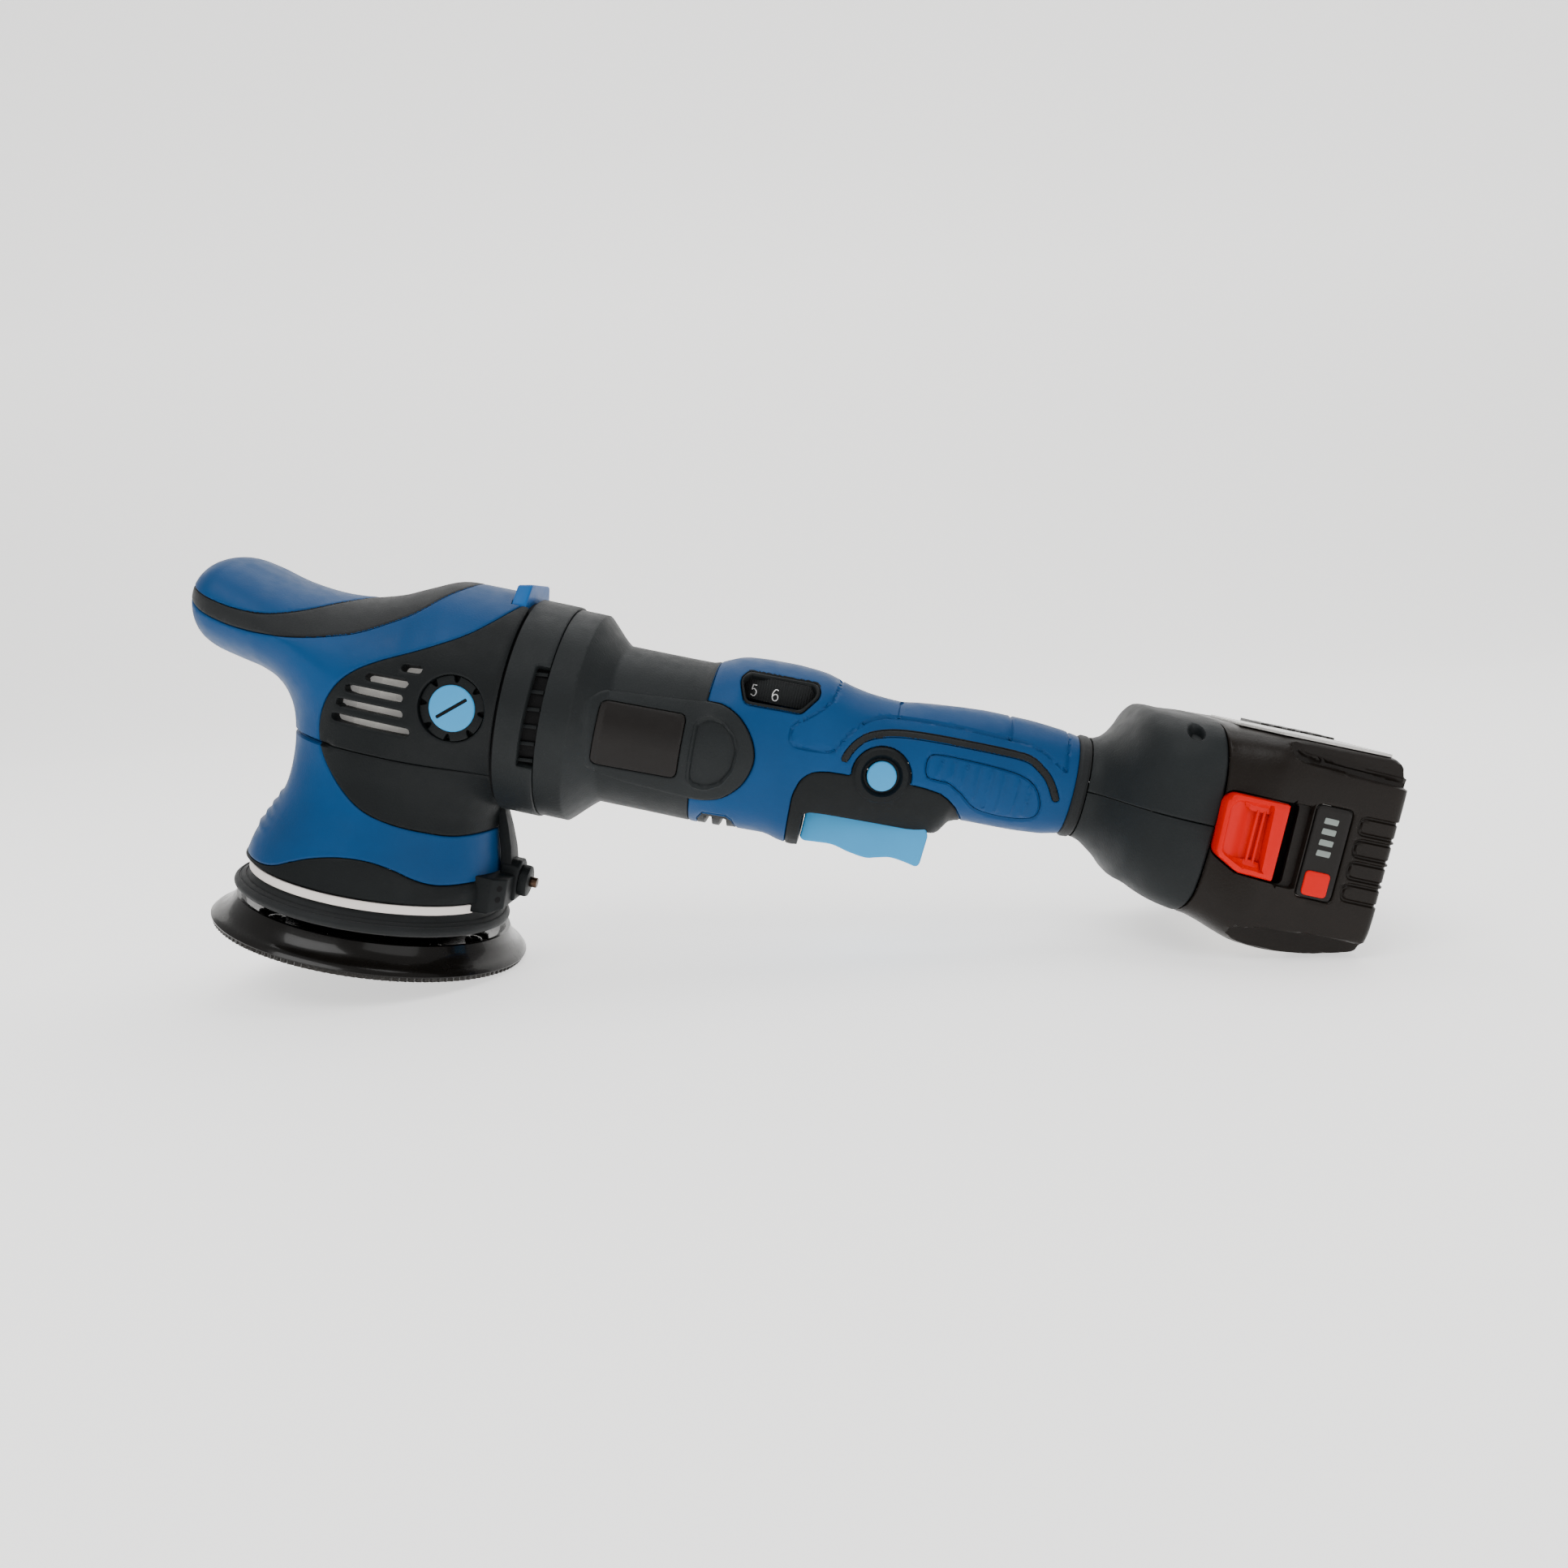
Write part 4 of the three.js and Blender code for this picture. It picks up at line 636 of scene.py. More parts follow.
def head():
    skin = Skin(head_field(), (-98, -56, 24), (56, 56, 154), CELL)
    clear_of_collar = lambda p: np.maximum(COLLAR_RADIUS + 0.4 - np.hypot(p[:, 1], p[:, 2] - BARREL_Z),
                                           p[:, 2] - 76)
    skin.press(lambda p: COLLAR_X - p[:, 0], (0, 0.5, 1.2), (0.7, 0.2, 0), lambda p: step_up(p[:, 2], 62, 68))
    skin.trim(lambda p: np.minimum(p[:, 0] - COLLAR_X, clear_of_collar(p)))
    skin.trim(lambda p: SHROUD_Z - p[:, 2])
    seam = lambda p: p[:, 2] - SEAM_Z
    front, half, floor = TAB_ROOM
    skin.trim(lambda p: -np.maximum(np.maximum(front - p[:, 0], np.abs(p[:, 1]) - half), floor - p[:, 2]))
    for line in (GRIP, PAD, PANEL, SKIRT, seam):
        skin.seam(line)
    for outline in (*VENTS, circle(*PLUG, SEAT_RADIUS, 64)):
        hole = shape(outline)
        skin.press(hole, *RIM)
        skin.trim(lambda p: -hole(p))
    skin.press(lambda p: p[:, 2], range(40, 57, 2), (0, -0.7) * 4 + (0,), lambda p: step_up(-p[:, 0], 34, 42))
    skin.press(lambda p: np.abs(seam(p)), (0.5, 1.1), (1.4, 0), lambda p: step_up(-p[:, 0], 12, 18))
    skin.finish()
    above = lambda p: p[:, 2] > SEAM_Z
    panel = lambda p: (PANEL(p) < 0) & (GRIP(p) > 0)
    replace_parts(skin.piece("grip_strip_rubber", lambda p: GRIP(p) < 0, RUBBER), "grip_strip")
    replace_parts(skin.piece("nose_pad_shell", lambda p: PAD(p) < 0, BLUE), "nose_pad")
    upper = lambda p: above(p) & (PAD(p) > 0) & (GRIP(p) > 0) & ~panel(p)
    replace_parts(skin.piece("upper_head_shell", upper, BLUE), "upper_head_casing")
    for name, side in SIDES:
        there = on_side(side)
        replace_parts(skin.piece(f"{name}_side_panel_shell", lambda p: above(p) & panel(p) & there(p), BLACK,
                               thickness=4.6), f"{name}_side_panel")
        skin.piece(f"{name}_lower_panel_shell", lambda p: ~above(p) & panel(p) & there(p), BLACK)
    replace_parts(skin.piece("lower_head_shell", lambda p: ~above(p) & ~panel(p) & (SKIRT(p) > 0), BLUE),
                "lower_head_casing")
    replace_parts(skin.piece("skirt_shell", lambda p: SKIRT(p) < 0, BLACK), "skirt")


head()

# ------------------------ barrel and handle
FRONT_X, HANDLE_X, HANDLE_END, RING_END = 62.9, 120.6, 262.7, 267.2
HOUSING_STEPS = (73.4, 74.1, 83.6, 84.4)    # where the motor housing's steps begin and end
# Rows of x, low, high, half width and squareness, as in FOOT and BATTERY.
BODY = [
    (60, 65.3, 149.2, 41.9, 2), (73.4, 65.3, 149.2, 41.9, 2), (74.1, 65.9, 148.6, 41.3, 2),
    (83.6, 74.9, 139.7, 32.4, 2), (84.4, 75.4, 139.3, 31.9, 2), (117, 75.5, 139.6, 31.8, 2),
    (120, 75.5, 140.3, 31.8, 2), (124, 75.5, 142.1, 31.7, 2.1), (128, 75.6, 143.8, 31.6, 2.2),
    (132, 75.8, 144.7, 31.4, 2.3), (141, 76.8, 145.4, 30.6, 2.4), (150, 77, 145.6, 29.4, 2.4),
    (157, 75.4, 145.3, 28.6, 2.4), (162, 74.8, 144.8, 28, 2.4), (167, 77, 143.5, 27.2, 2.3),
    (174, 80, 141.6, 26, 2.2), (182, 82, 140.3, 24.8, 2.2), (192, 84, 139.8, 23.6, 2.2),
    (200, 85, 140.9, 22.9, 2.2), (212, 87, 142.2, 22.1, 2.2), (217, 91.6, 142.6, 21.9, 2.2),
    (221, 97, 142.8, 21.7, 2.2), (226, 98.1, 143.1, 21.6, 2.2), (241, 98.4, 143, 21.4, 2.2),
    (255, 99.4, 142, 20.8, 2.2), (264, 101.2, 140.6, 20.4, 2.2), (270, 101.6, 140.4, 20.4, 2.2)]
THROAT_X0, THROAT_X1, THROAT_Z = 164.5, 217.2, 91.8
BUTTON = (190.7, 111.5)
BUTTON_RADIUS, RING_RADIUS = 5.6, 11.4
DIAL_X = 147

FLAP = smooth([(121.2, 126.1), (127.6, 125.9), (134.5, 122.6), (140.3, 115.8), (142.8, 107.4), (140.2, 98.2),
               (133.9, 91.4), (127, 88.6), (121.2, 87.9)], 5)
HOUSING = outline_of((HANDLE_X, 165), (HANDLE_X, 126.4), FLAP, (HANDLE_X, 87.6), (HANDLE_X, 50), (40, 50),
                     (40, 165))
BADGE = outline_of(rounded([
    (118, 125.4), (82, 122.4), (77.8, 117.4), (80.4, 92.6), (86, 90.2), (96, 88.9), (118, 88)],
                           [0, 6, 4, 4, 4, 3, 0]), FLAP[::-1])
LABEL_EDGE = rounded([(82.3, 118.7), (114.7, 119.6), (115.1, 95.1), (82, 94)], 3)
HOLLOW = rounded([(119.4, 117.4), (123.6, 119.6), (128.6, 118.8), (133, 115.4), (135.4, 110), (134.9, 103),
                  (131.6, 97.2), (126.4, 94.3), (120.6, 94.6), (119.8, 98)], 2.4)
WINDOW = rounded([(132.1, 136.6), (134.4, 139), (159, 139.5), (160.4, 136.2), (155.6, 129.8), (135.4, 129.4)],
                 2.4)
BEZEL = rounded([(130.7, 136.8), (133.4, 140.3), (160.6, 140.8), (162.2, 136.2), (156.4, 128.4),
                 (134.6, 128)], 3.2)
BUTTON_RING = arc(*BUTTON, RING_RADIUS, 186, -6, 18)
FRAME_FRONT = smooth([(159.6, 99), (161.4, 104.2), (165.4, 107.8), (171, 109.1)], 4)
FRAME_REAR = smooth([(213.9, 109.2), (219.4, 106), (224.4, 99.6)], 4)
TRIGGER_FRAME = outline_of((159.2, 60), (159.2, 96.5), FRAME_FRONT, (179, 109.4), BUTTON_RING, (207.5, 110.1),
                           FRAME_REAR, (226, 90), (218, 60))
BAND_EDGE = smooth([
    (169.4, 150), (168.1, 138.9), (165.1, 133.1), (159, 127.6), (155.3, 125), (154.1, 120.8), (155.2, 117.2),
    (159.3, 116.1), (170.1, 116.9), (172.6, 119.6), (175.3, 124.3), (180.3, 130), (185.9, 133),
    (192.9, 134.2), (210.3, 135.3), (235.1, 135.1), (241.2, 134.8), (248.5, 133), (258.2, 127.6)], 6)
BAND_LINES = [np.array(line, float) for line in (
    [(192.9, 134.2), (192.9, 150)], [(235.4, 135), (235.6, 150)], [(258.2, 127.6), (258.8, 150)])]
INLAY = smooth([
    (176, 115.4), (177.2, 118.6), (179.6, 122.3), (183, 125.2), (189, 127.5), (197, 128.9), (211, 129.6),
    (233, 129.8), (243.5, 129.2), (249.3, 126.1), (253.3, 122.2), (256.6, 116.4)], 6)
INLAY_HALF = 1.35
THUMB_PAD = smooth([
    (206.9, 122.4), (206.4, 118.2), (207.8, 114.6), (212, 114.1), (216.6, 113.6), (221.9, 110.2),
    (227.6, 105.6), (235, 104.2), (244, 104.6), (250, 106.4), (251.8, 110), (250.8, 115), (247.6, 119.8),
    (242, 122.4), (233.4, 123.5), (220, 124), (210.4, 123.9)], 5, closed=True)
THUMB_RIBS = (211.6, 216.4, 221.2, 226.0, 230.9, 236.0, 241.0, 245.8)
BELLY_VENT = outline_of((123.6, 60), (124.2, 79), (126.4, 82.6), (135.4, 83.3), (137.9, 81.8), (139.6, 78),
                        (140, 60))
BELLY_HOLES = [rounded([(x - 1.7, 72), (x - 1.7, 81.2), (x + 1.7, 81.4), (x + 1.7, 72)], 1.4)
               for x in (128.6, 134.4)]


def loft_field(table):
    """Rounded-box sections between stations of x, low, high, half width and squareness."""
    def field(p):
        low, high, half, power = stations(table, p[:, 0]).T
        rise = (high - low) / 2
        across, up = np.abs(p[:, 1]) / half, np.abs(p[:, 2] - (low + high) / 2) / rise
        size = np.maximum(across, up) + 1e-9
        size = size * ((across / size) ** power + (up / size) ** power) ** (1 / power)
        return (size - 1) * np.minimum(half, rise)
    return field


def rib_lines(outline, places, margin):
    """Upright lines inside an outline, stopping short of its edge."""
    zs = np.arange(outline[:, 1].min(), outline[:, 1].max(), 0.1)
    lines = []
    for x in places:
        inside = zs[signed_distance(np.column_stack([zs * 0 + x, zs * 0, zs]), outline) < -margin]
        lines.append(np.array([(x, inside[0]), (x + 0.4, inside[-1])]))
    return lines


def body():
    skin = Skin(loft_field(BODY), (60, -45, 60), (270, 45, 152), CELL)
    skin.trim(lambda p: FRONT_X - p[:, 0])
    skin.trim(lambda p: p[:, 0] - RING_END)
    throat = shape(rounded([(THROAT_X0, 50), (THROAT_X0, THROAT_Z), (THROAT_X1, THROAT_Z), (THROAT_X1, 50)],
                           [0, 4, 0, 0]))
    skin.trim(lambda p: -throat(p))
    skin.press(throat, (0, 0.25, 0.8), (0.5, 0.15, 0))
    skin.lines(lambda p: p[:, 0], HOUSING_STEPS)
    housing, frame_edge, label, window, bezel, vent, pad = map(
        shape, (HOUSING, TRIGGER_FRAME, LABEL_EDGE, WINDOW, BEZEL, BELLY_VENT, THUMB_PAD))
    inlay = lambda p: line_distance(p, INLAY) - INLAY_HALF
    halves = lambda p: np.sign(p[:, 1]) * np.maximum(np.abs(p[:, 1]), HANDLE_X + 1.5 - p[:, 0])
    ring = lambda p: p[:, 0] - HANDLE_END
    for line in (housing, frame_edge, label, bezel, vent, inlay, halves, ring):
        skin.seam(line)
    skin.seam(pad, rounded_edge=False)
    button = shape(circle(*BUTTON, BUTTON_RADIUS + 0.35, 48))
    skin.press(shape(BADGE), (-1.3, -0.5, 0.1), (-1.1, -0.9, 0))
    skin.press(shape(HOLLOW), (-0.9, -0.3, 0.1, 0.9, 1.5), (1.2, 1.1, 0, -0.5, 0))
    skin.press(bezel, (-1.2, -0.5, 0), (-0.45, -0.3, 0))
    skin.press(window, (0, 0.3, 0.7), (0.7, 0.2, 0))
    skin.press(vent, (-1, 0), (0.5, 0.2))
    skin.press(shape(circle(*BUTTON, RING_RADIUS, 64)), (-4.6, -3.4, -1.4, -0.4), (1.1, -0.9, -0.9, 0))
    for line in [BAND_EDGE, *BAND_LINES]:
        skin.press(beside(line), (0.2, 0.9), (0.75, 0))
    skin.press(beside(np.vstack([THUMB_PAD, THUMB_PAD[:1]])), (0.2, 0.9), (0.6, 0))
    for line in rib_lines(THUMB_PAD, THUMB_RIBS, 2.2):
        skin.press(beside(line), (0.2, 1.0), (-0.6, 0))
    for outline in BELLY_HOLES:
        skin.press(shape(outline), (-0.6, 0), (2.6, 0))
    for hole in (window, button):
        skin.trim(lambda p, hole=hole: -hole(p))
    skin.press(ring, (0, 1.2, 3.4, 4.5), (0.3, -0.6, -0.6, 0.3))
    skin.finish()
    handle = lambda p: (housing(p) > 0) & (ring(p) < 0)
    plain = lambda p: (frame_edge(p) > 0) & (bezel(p) > 0) & (vent(p) > 0) & (inlay(p) > 0) & (pad(p) > 0)
    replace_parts(skin.piece("motor_housing_shell", lambda p: (housing(p) < 0) & (label(p) > 0), SATIN),
                "motor_housing")
    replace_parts(skin.piece("trigger_frame_shell", lambda p: handle(p) & (frame_edge(p) < 0), BLACK, 3.4),
                "trigger_frame")
    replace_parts(skin.piece("dial_bezel", lambda p: handle(p) & (bezel(p) < 0), BLACK, 1.6), "dial_cover")
    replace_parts(skin.piece("handle_ring_shell", lambda p: ring(p) > 0, RUBBER), "handle_ring")
    skin.piece("belly_vent", lambda p: handle(p) & (vent(p) < 0), BLACK)
    for name, side in SIDES:
        there = on_side(side)
        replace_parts(skin.piece(f"{name}_label_film", lambda p: (label(p) < 0) & there(p), LABEL, 1.2),
                    f"{name}_label_plate")
        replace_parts(skin.piece(f"{name}_handle_half", lambda p: handle(p) & plain(p) & there(p), BLUE),
                    f"{name}_handle_shell")
        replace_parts(skin.piece(f"{name}_thumb_rest", lambda p: (pad(p) < 0) & there(p), BLUE),
                    f"{name}_thumb_pad")
        skin.piece(f"{name}_handle_inlay", lambda p: handle(p) & (inlay(p) < 0) & there(p), RUBBER)


body()

# ------------------------ collar between head and barrel
VENT_X0, VENT_LOW, VENT_HIGH, RIB_PITCH = 56.4, 88.0, 127.0, 6.5


def collar():
    cylinder = lambda p: np.hypot(p[:, 1], p[:, 2] - BARREL_Z) - COLLAR_RADIUS
    skin = Skin(cylinder, (44, -45, 62), (66, 45, 153), CELL)
    skin.trim(lambda p: COLLAR_X + 1.1 - p[:, 0])
    skin.trim(lambda p: p[:, 0] - FRONT_X + 0.35)
    opening = rounded([(VENT_X0 + 1.2, VENT_HIGH), (70, VENT_HIGH), (70, VENT_LOW), (VENT_X0, VENT_LOW)], 1)
    skin.press(lambda p: FRONT_X - 0.35 - p[:, 0], (0, 0.3, 0.9), (0.4, 0.12, 0))
    skin.press(shape(opening), (0, 0.3, 0.8), (0.5, 0.1, 0))
    skin.trim(lambda p: -shape(opening)(p))
    skin.finish()
    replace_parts(skin.piece("collar_shell", lambda p: p[:, 0] > 0, SATIN, 3), "motor_collar")
    # Dark rings of painted shade: one right behind the collar's gap, one filling the collar's inside behind
    # its vent openings.
    for name, ring in (("shadow", [(36, 44), (40.4, 44), (40.4, 48), (36, 48)]),
                       ("core", [(34, 47), (38.6, 47), (38.6, 66), (34, 66)])):
        turned(f"collar_{name}", ring, PAINTED_SHADE, about="motor", centre=(0, BARREL_Z))
    for name, side in SIDES:
        for count in range(6):
            z = VENT_LOW + 3.4 + count * RIB_PITCH
            across = math.sqrt(COLLAR_RADIUS**2 - (z - BARREL_Z) ** 2) - 2.6
            rib = [(VENT_X0 - 1, z), (62.2, z + 0.6), (62.2, z - 0.8), (VENT_X0 - 1, z - 1.4)]
            block(f"collar_rib_{name}_{count}", rib, *y_range(side, across, across - 5), 0.2, BLACK)


collar()

# ------------------------ plugs, lock tab, dial, trigger
PLUG_FACE = 41.3                  # how far out the caps stand
SLOT_X, SLOT_Z = 5.1, 4.4         # half of the coin slot's run


def scallop_radius(step):
    """The seat's inner edge, with eight round notches in 240 steps."""
    bite = math.sqrt(max(0, 1 - (((1.5 * step + 22.5) % 45 - 22.5) / 5.6) ** 2))
    return 12.2 - 2.6 * bite


def plug(name, side):
    """The round cap in its scalloped seat on one side of the head."""
    block(f"{name}_plug_seat", circle(*PLUG, SEAT_RADIUS + 1.2, 48),
          *y_range(side, PLUG_FACE - 4.2, PLUG_FACE - 9), 0.3, BLACK)
    block(f"{name}_plug_rim", round_outline(PLUG, 240, scallop_radius),
          *y_range(side, PLUG_FACE - 5, PLUG_FACE - 0.8), 0.35, BLACK)
    cap = block(f"{name}_plug_button", circle(*PLUG, CAP_RADIUS, 64),
                *y_range(side, PLUG_FACE, PLUG_FACE - 4), 0.7, LIGHT_BLUE)
    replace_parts(cap, f"{name}_plug_cap")
    slot = np.array([(-SLOT_X - 0.4, -SLOT_Z + 0.5), (SLOT_X - 0.4, SLOT_Z + 0.5),
                     (SLOT_X + 0.4, SLOT_Z - 0.5), (-SLOT_X + 0.4, -SLOT_Z - 0.5)]) + PLUG
    # The coin slot is a thin dark sheet on the cap, painted shade in place of a cut.
    block(f"{name}_plug_slot", rounded(slot, 0.5), *y_range(side, PLUG_FACE + 0.04, PLUG_FACE - 1), 0, PAINTED_SHADE)


for side_name, side_sign in SIDES:
    plug(side_name, side_sign)

TAB_SIDE = rounded([(-13.8, 154.6), (13.8, 154.6), (18.6, 147), (18.6, 140.3), (-18.6, 140.3), (-18.6, 147)],
                   [2.4, 2.4, 4, 1, 1, 4])
TAB_FRONT, TAB_REAR, TAB_SLOPE = 39.1, 44.8, 0.16
tab = block("spindle_lock_button", TAB_SIDE, TAB_FRONT, TAB_REAR, 1.1, TAB_BLUE, "spindle_lock", plane="yz",
            taper=lambda v: (v.x, v.y, v.z - (TAB_REAR - v.x) * TAB_SLOPE))
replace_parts(tab, "spindle_lock_tab")

DIAL_RADIUS, DIAL_LOW, DIAL_HIGH = 20.6, 129.6, 138.6
DIAL_STEP, DIGIT_AT_LEFT = 25.4, 6.21    # degrees between digits, and what the scale reads at the left side
DIGIT_WIDE, DIGIT_TALL, STROKE = 2.5, 4.2, 0.16
# Each digit's strokes, as shares of its width and height.
DIGITS = {
    1: [[(0.25, 0.75), (0.5, 1), (0.5, 0)]],
    2: [[(0.05, 0.75), (0.2, 0.95), (0.5, 1), (0.85, 0.9), (0.9, 0.65), (0.6, 0.35), (0, 0)],
        [(0, 0), (1, 0)]],
    3: [[(0.05, 0.9), (0.5, 1), (0.9, 0.8), (0.8, 0.58), (0.4, 0.52)],
        [(0.4, 0.52), (0.85, 0.45), (0.95, 0.2), (0.5, 0), (0, 0.12)]],
    4: [[(0.75, 0), (0.75, 1), (0, 0.3)], [(0, 0.3), (1, 0.3)]],
    5: [[(0.9, 1), (0.2, 1), (0.1, 0.55)],
        [(0.1, 0.55), (0.5, 0.65), (0.92, 0.5), (0.95, 0.2), (0.6, 0), (0.05, 0.1)]],
    6: [[(0.85, 0.95), (0.45, 1), (0.1, 0.7), (0.05, 0.3), (0.3, 0.02), (0.7, 0.02), (0.95, 0.25),
         (0.75, 0.55), (0.35, 0.55), (0.08, 0.35)]],
}


def digit_stroke(name, line, bearing):
    """One stroke of a digit, as a thin ribbon lying on the wheel's rim."""
    along = np.gradient(line, axis=0)
    across = np.column_stack([-along[:, 1], along[:, 0]]) / np.maximum(np.hypot(*along.T), 1e-9)[:, None]
    sides = np.vstack([line + across * STROKE, line - across * STROKE])
    turn = bearing + (sides[:, 0] - DIGIT_WIDE / 2) / DIAL_RADIUS
    height = DIAL_LOW + 1.2 + sides[:, 1]
    rings = [np.column_stack([DIAL_X + radius * np.cos(turn), radius * np.sin(turn), height])
             for radius in (DIAL_RADIUS + 0.06, DIAL_RADIUS - 0.5)]
    count, whole = len(line), 2 * len(line)
    faces = []
    for i in range(count - 1):
        for shift, flip in ((0, 1), (whole, -1)):
            faces.append([i + shift, i + 1 + shift, count + i + 1 + shift, count + i + shift][::flip])
    border = list(range(count)) + list(range(whole - 1, count - 1, -1))
    faces += [[a, b, b + whole, a + whole] for a, b in zip(border, border[1:] + border[:1])]
    return outward(mesh_object(name, np.vstack(rings), [faces], INK, "speed_dial"))


def dial():
    knurl = round_outline((DIAL_X, 0), 240, lambda i: DIAL_RADIUS if i % 2 else DIAL_RADIUS - 0.35)
    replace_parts(block("speed_dial_wheel", knurl, DIAL_LOW, DIAL_HIGH, 0.0, RUBBER, "speed_dial", plane="xy"),
                "speed_dial")
    for digit, strokes in DIGITS.items():
        bearing = math.radians(-90 + (digit - DIGIT_AT_LEFT) * DIAL_STEP)
        for part, stroke in enumerate(strokes):
            line = np.array([(u * DIGIT_WIDE, v * DIGIT_TALL) for u, v in stroke])
            if len(stroke) > 3:
                line = smooth(line, 4)
            digit_stroke(f"dial_digit_{digit}_{part}", line, bearing)


dial()

button = block("lock_button_cap", circle(*BUTTON, BUTTON_RADIUS, 48), -25.2, -15, 0.9, LIGHT_BLUE,
               "lock_button")
block("lock_button_cap_right", circle(*BUTTON, BUTTON_RADIUS, 48), 15, 22.2, 0.9, LIGHT_BLUE, "lock_button")
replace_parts(button, "lock_button")
FINGER_SIDE = smooth([(166.6, 79.6), (171.5, 80.1), (177.9, 80.4), (184.7, 78.9), (191.4, 78.1), (195.4, 79),
                      (200.6, 80.2), (206.1, 79.7), (211.2, 78.7)], 5)
TRIGGER = outline_of((164.9, 80.7), FINGER_SIDE, (212.4, 80), (213.2, 91.6), (209.6, 98), (196, 99),
                     (172, 101), (165.4, 98))
trigger = block("trigger_grip", TRIGGER, -15, 15, 1.3, LIGHT_BLUE, "trigger", segments=4)
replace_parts(trigger, "trigger")
STOP = [(-11.6, 77), (11.6, 77), (16.6, 80), (21.4, 85), (24.6, 91.4), (-24.6, 91.4), (-21.4, 85),
        (-16.6, 80)]
block("trigger_stop", STOP, 160.2, 164.4, 0.5, BLACK, plane="yz")

# ------------------------ foot
FOOT = [
    (264, 101.6, 140.4, 20.2, 2.2), (268, 101.4, 140.6, 20.6, 2.2), (271, 100.6, 141.8, 22, 2.25),
    (274, 98.8, 144.2, 25, 2.4), (278, 96, 149.6, 30.5, 2.7), (281, 93.6, 155, 35, 3),
    (284, 91, 157.2, 39, 3.4), (288, 90.2, 157.4, 43.2, 3.9), (292, 88.6, 157.2, 46, 4.4),
    (297, 87.2, 157.4, 48.3, 5), (302, 86.4, 157.8, 49.4, 5.5), (312, 85.4, 158.2, 50.4, 6)]
FOOT_START, FOOT_SEAM_Z = 267.5, 121.5
FOOT_END = smooth([(304.8, 166), (305.8, 154), (307.5, 143.4), (308.4, 130.5), (308, 117.2), (307, 98),
                   (305.2, 88), (303.6, 78)], 4)
BEHIND_FOOT = shape(outline_of(FOOT_END, (400, 78), (400, 166)))


def foot():
    skin = Skin(loft_field(FOOT), (264, -54, 80), (312, 54, 162), 2.0)
    skin.trim(lambda p: FOOT_START - p[:, 0])
    skin.trim(lambda p: -BEHIND_FOOT(p), 0.05)
    skin.seam(lambda p: p[:, 2] - FOOT_SEAM_Z)
    skin.press(lambda p: -BEHIND_FOOT(p), (-0.8, -0.4, 0.05), (0, 0.1, 0.45))
    screw = shape(circle(296, 152.4, 2.5, 32))
    skin.press(screw, (-0.6, 0.1, 0.5), (2.6, 0.4, 0))
    skin.finish()
    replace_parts(skin.piece("foot_upper_shell", lambda p: p[:, 2] > FOOT_SEAM_Z, SATIN, 1.2), "foot_upper")
    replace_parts(skin.piece("foot_lower_shell", lambda p: p[:, 2] < FOOT_SEAM_Z, SATIN, 1.2), "foot_lower")


foot()

# ------------------------ battery
BATTERY = [
    (300, 86.8, 157.6, 49.6, 6), (308, 86, 157.9, 50.6, 6), (314, 84.6, 158.1, 52.6, 6.4),
    (320, 82.6, 158.3, 55, 7), (326, 81.2, 158.4, 56.4, 8), (334, 80.9, 158.4, 56.6, 9),
    (350, 82.5, 158.4, 56.6, 9), (356, 84, 158.4, 56.6, 9), (362, 85.6, 158.4, 56.6, 9),
    (366.5, 87.2, 158.4, 56.6, 9), (372, 90, 158.4, 56.6, 9)]
BATTERY_REAR, REAR_ROUND = 368.2, 3.2
CORE_HALF = 49.6                  # half width above the shoulder and under the belly
SHOULDER = smooth([(325.6, 170), (326, 158), (326.8, 153.4), (329.2, 150.9), (334, 150), (346, 149.2),
                   (372, 148.4)], 5)
LEDGE = smooth([(330.4, 153.6), (334, 152.7), (350, 151.8), (371, 151)], 4)
BELLY = smooth([(318.6, 74), (321, 86.4), (325, 89.2), (334, 90.8), (350, 91.8), (372, 92)], 5)
ABOVE_SHOULDER = sampled(outline_of(SHOULDER, (380, 148.4), (380, 170)), (296, 76), (376, 168))
UNDER_BELLY = sampled(outline_of(BELLY, (380, 92), (380, 66), (318.6, 66)), (296, 76), (376, 168))
LATCH = rounded([(310.2, 135.6), (333.4, 135.6), (333.8, 106.8), (317.4, 107.6), (308.4, 112.6),
                 (307.6, 131.6)], [3, 2, 2, 3, 4, 3])
LATCH_RUN = rounded([(330, 136.2), (337.8, 136.2), (337.8, 106.2), (330, 106.2)], 1.2)
GAUGE = rounded([(338.6, 137.6), (351.2, 137.4), (351.2, 104.2), (338.6, 104.4)], 2)
REAR_PANELS = [rounded([(354, top), (374, top), (374, top - 6.4), (354, top - 6.4)], [2.4, 0, 0, 2.4])
               for top in (136.2, 128.3, 120.4, 112.5)]


def battery_field():
    base = loft_field(BATTERY)

    def field(p):
        side = np.abs(p[:, 1])
        cut_top = np.minimum(side - CORE_HALF, -ABOVE_SHOULDER(p))
        cut_low = np.minimum(side - CORE_HALF, -UNDER_BELLY(p))
        lean = 0.25 * np.maximum(0, p[:, 2] - 150)
        rear = np.maximum(0, REAR_ROUND - (BATTERY_REAR - lean - p[:, 0]))
        whole = base(p)
        ends = p[:, 0] - (BATTERY_REAR - lean)
        round_end = np.hypot(np.maximum(0, whole + REAR_ROUND), rear) - REAR_ROUND
        body_value = np.where((whole > -REAR_ROUND) & (rear > 0), round_end, np.maximum(whole, ends))
        return np.maximum(np.maximum(body_value, cut_top), cut_low)
    return field


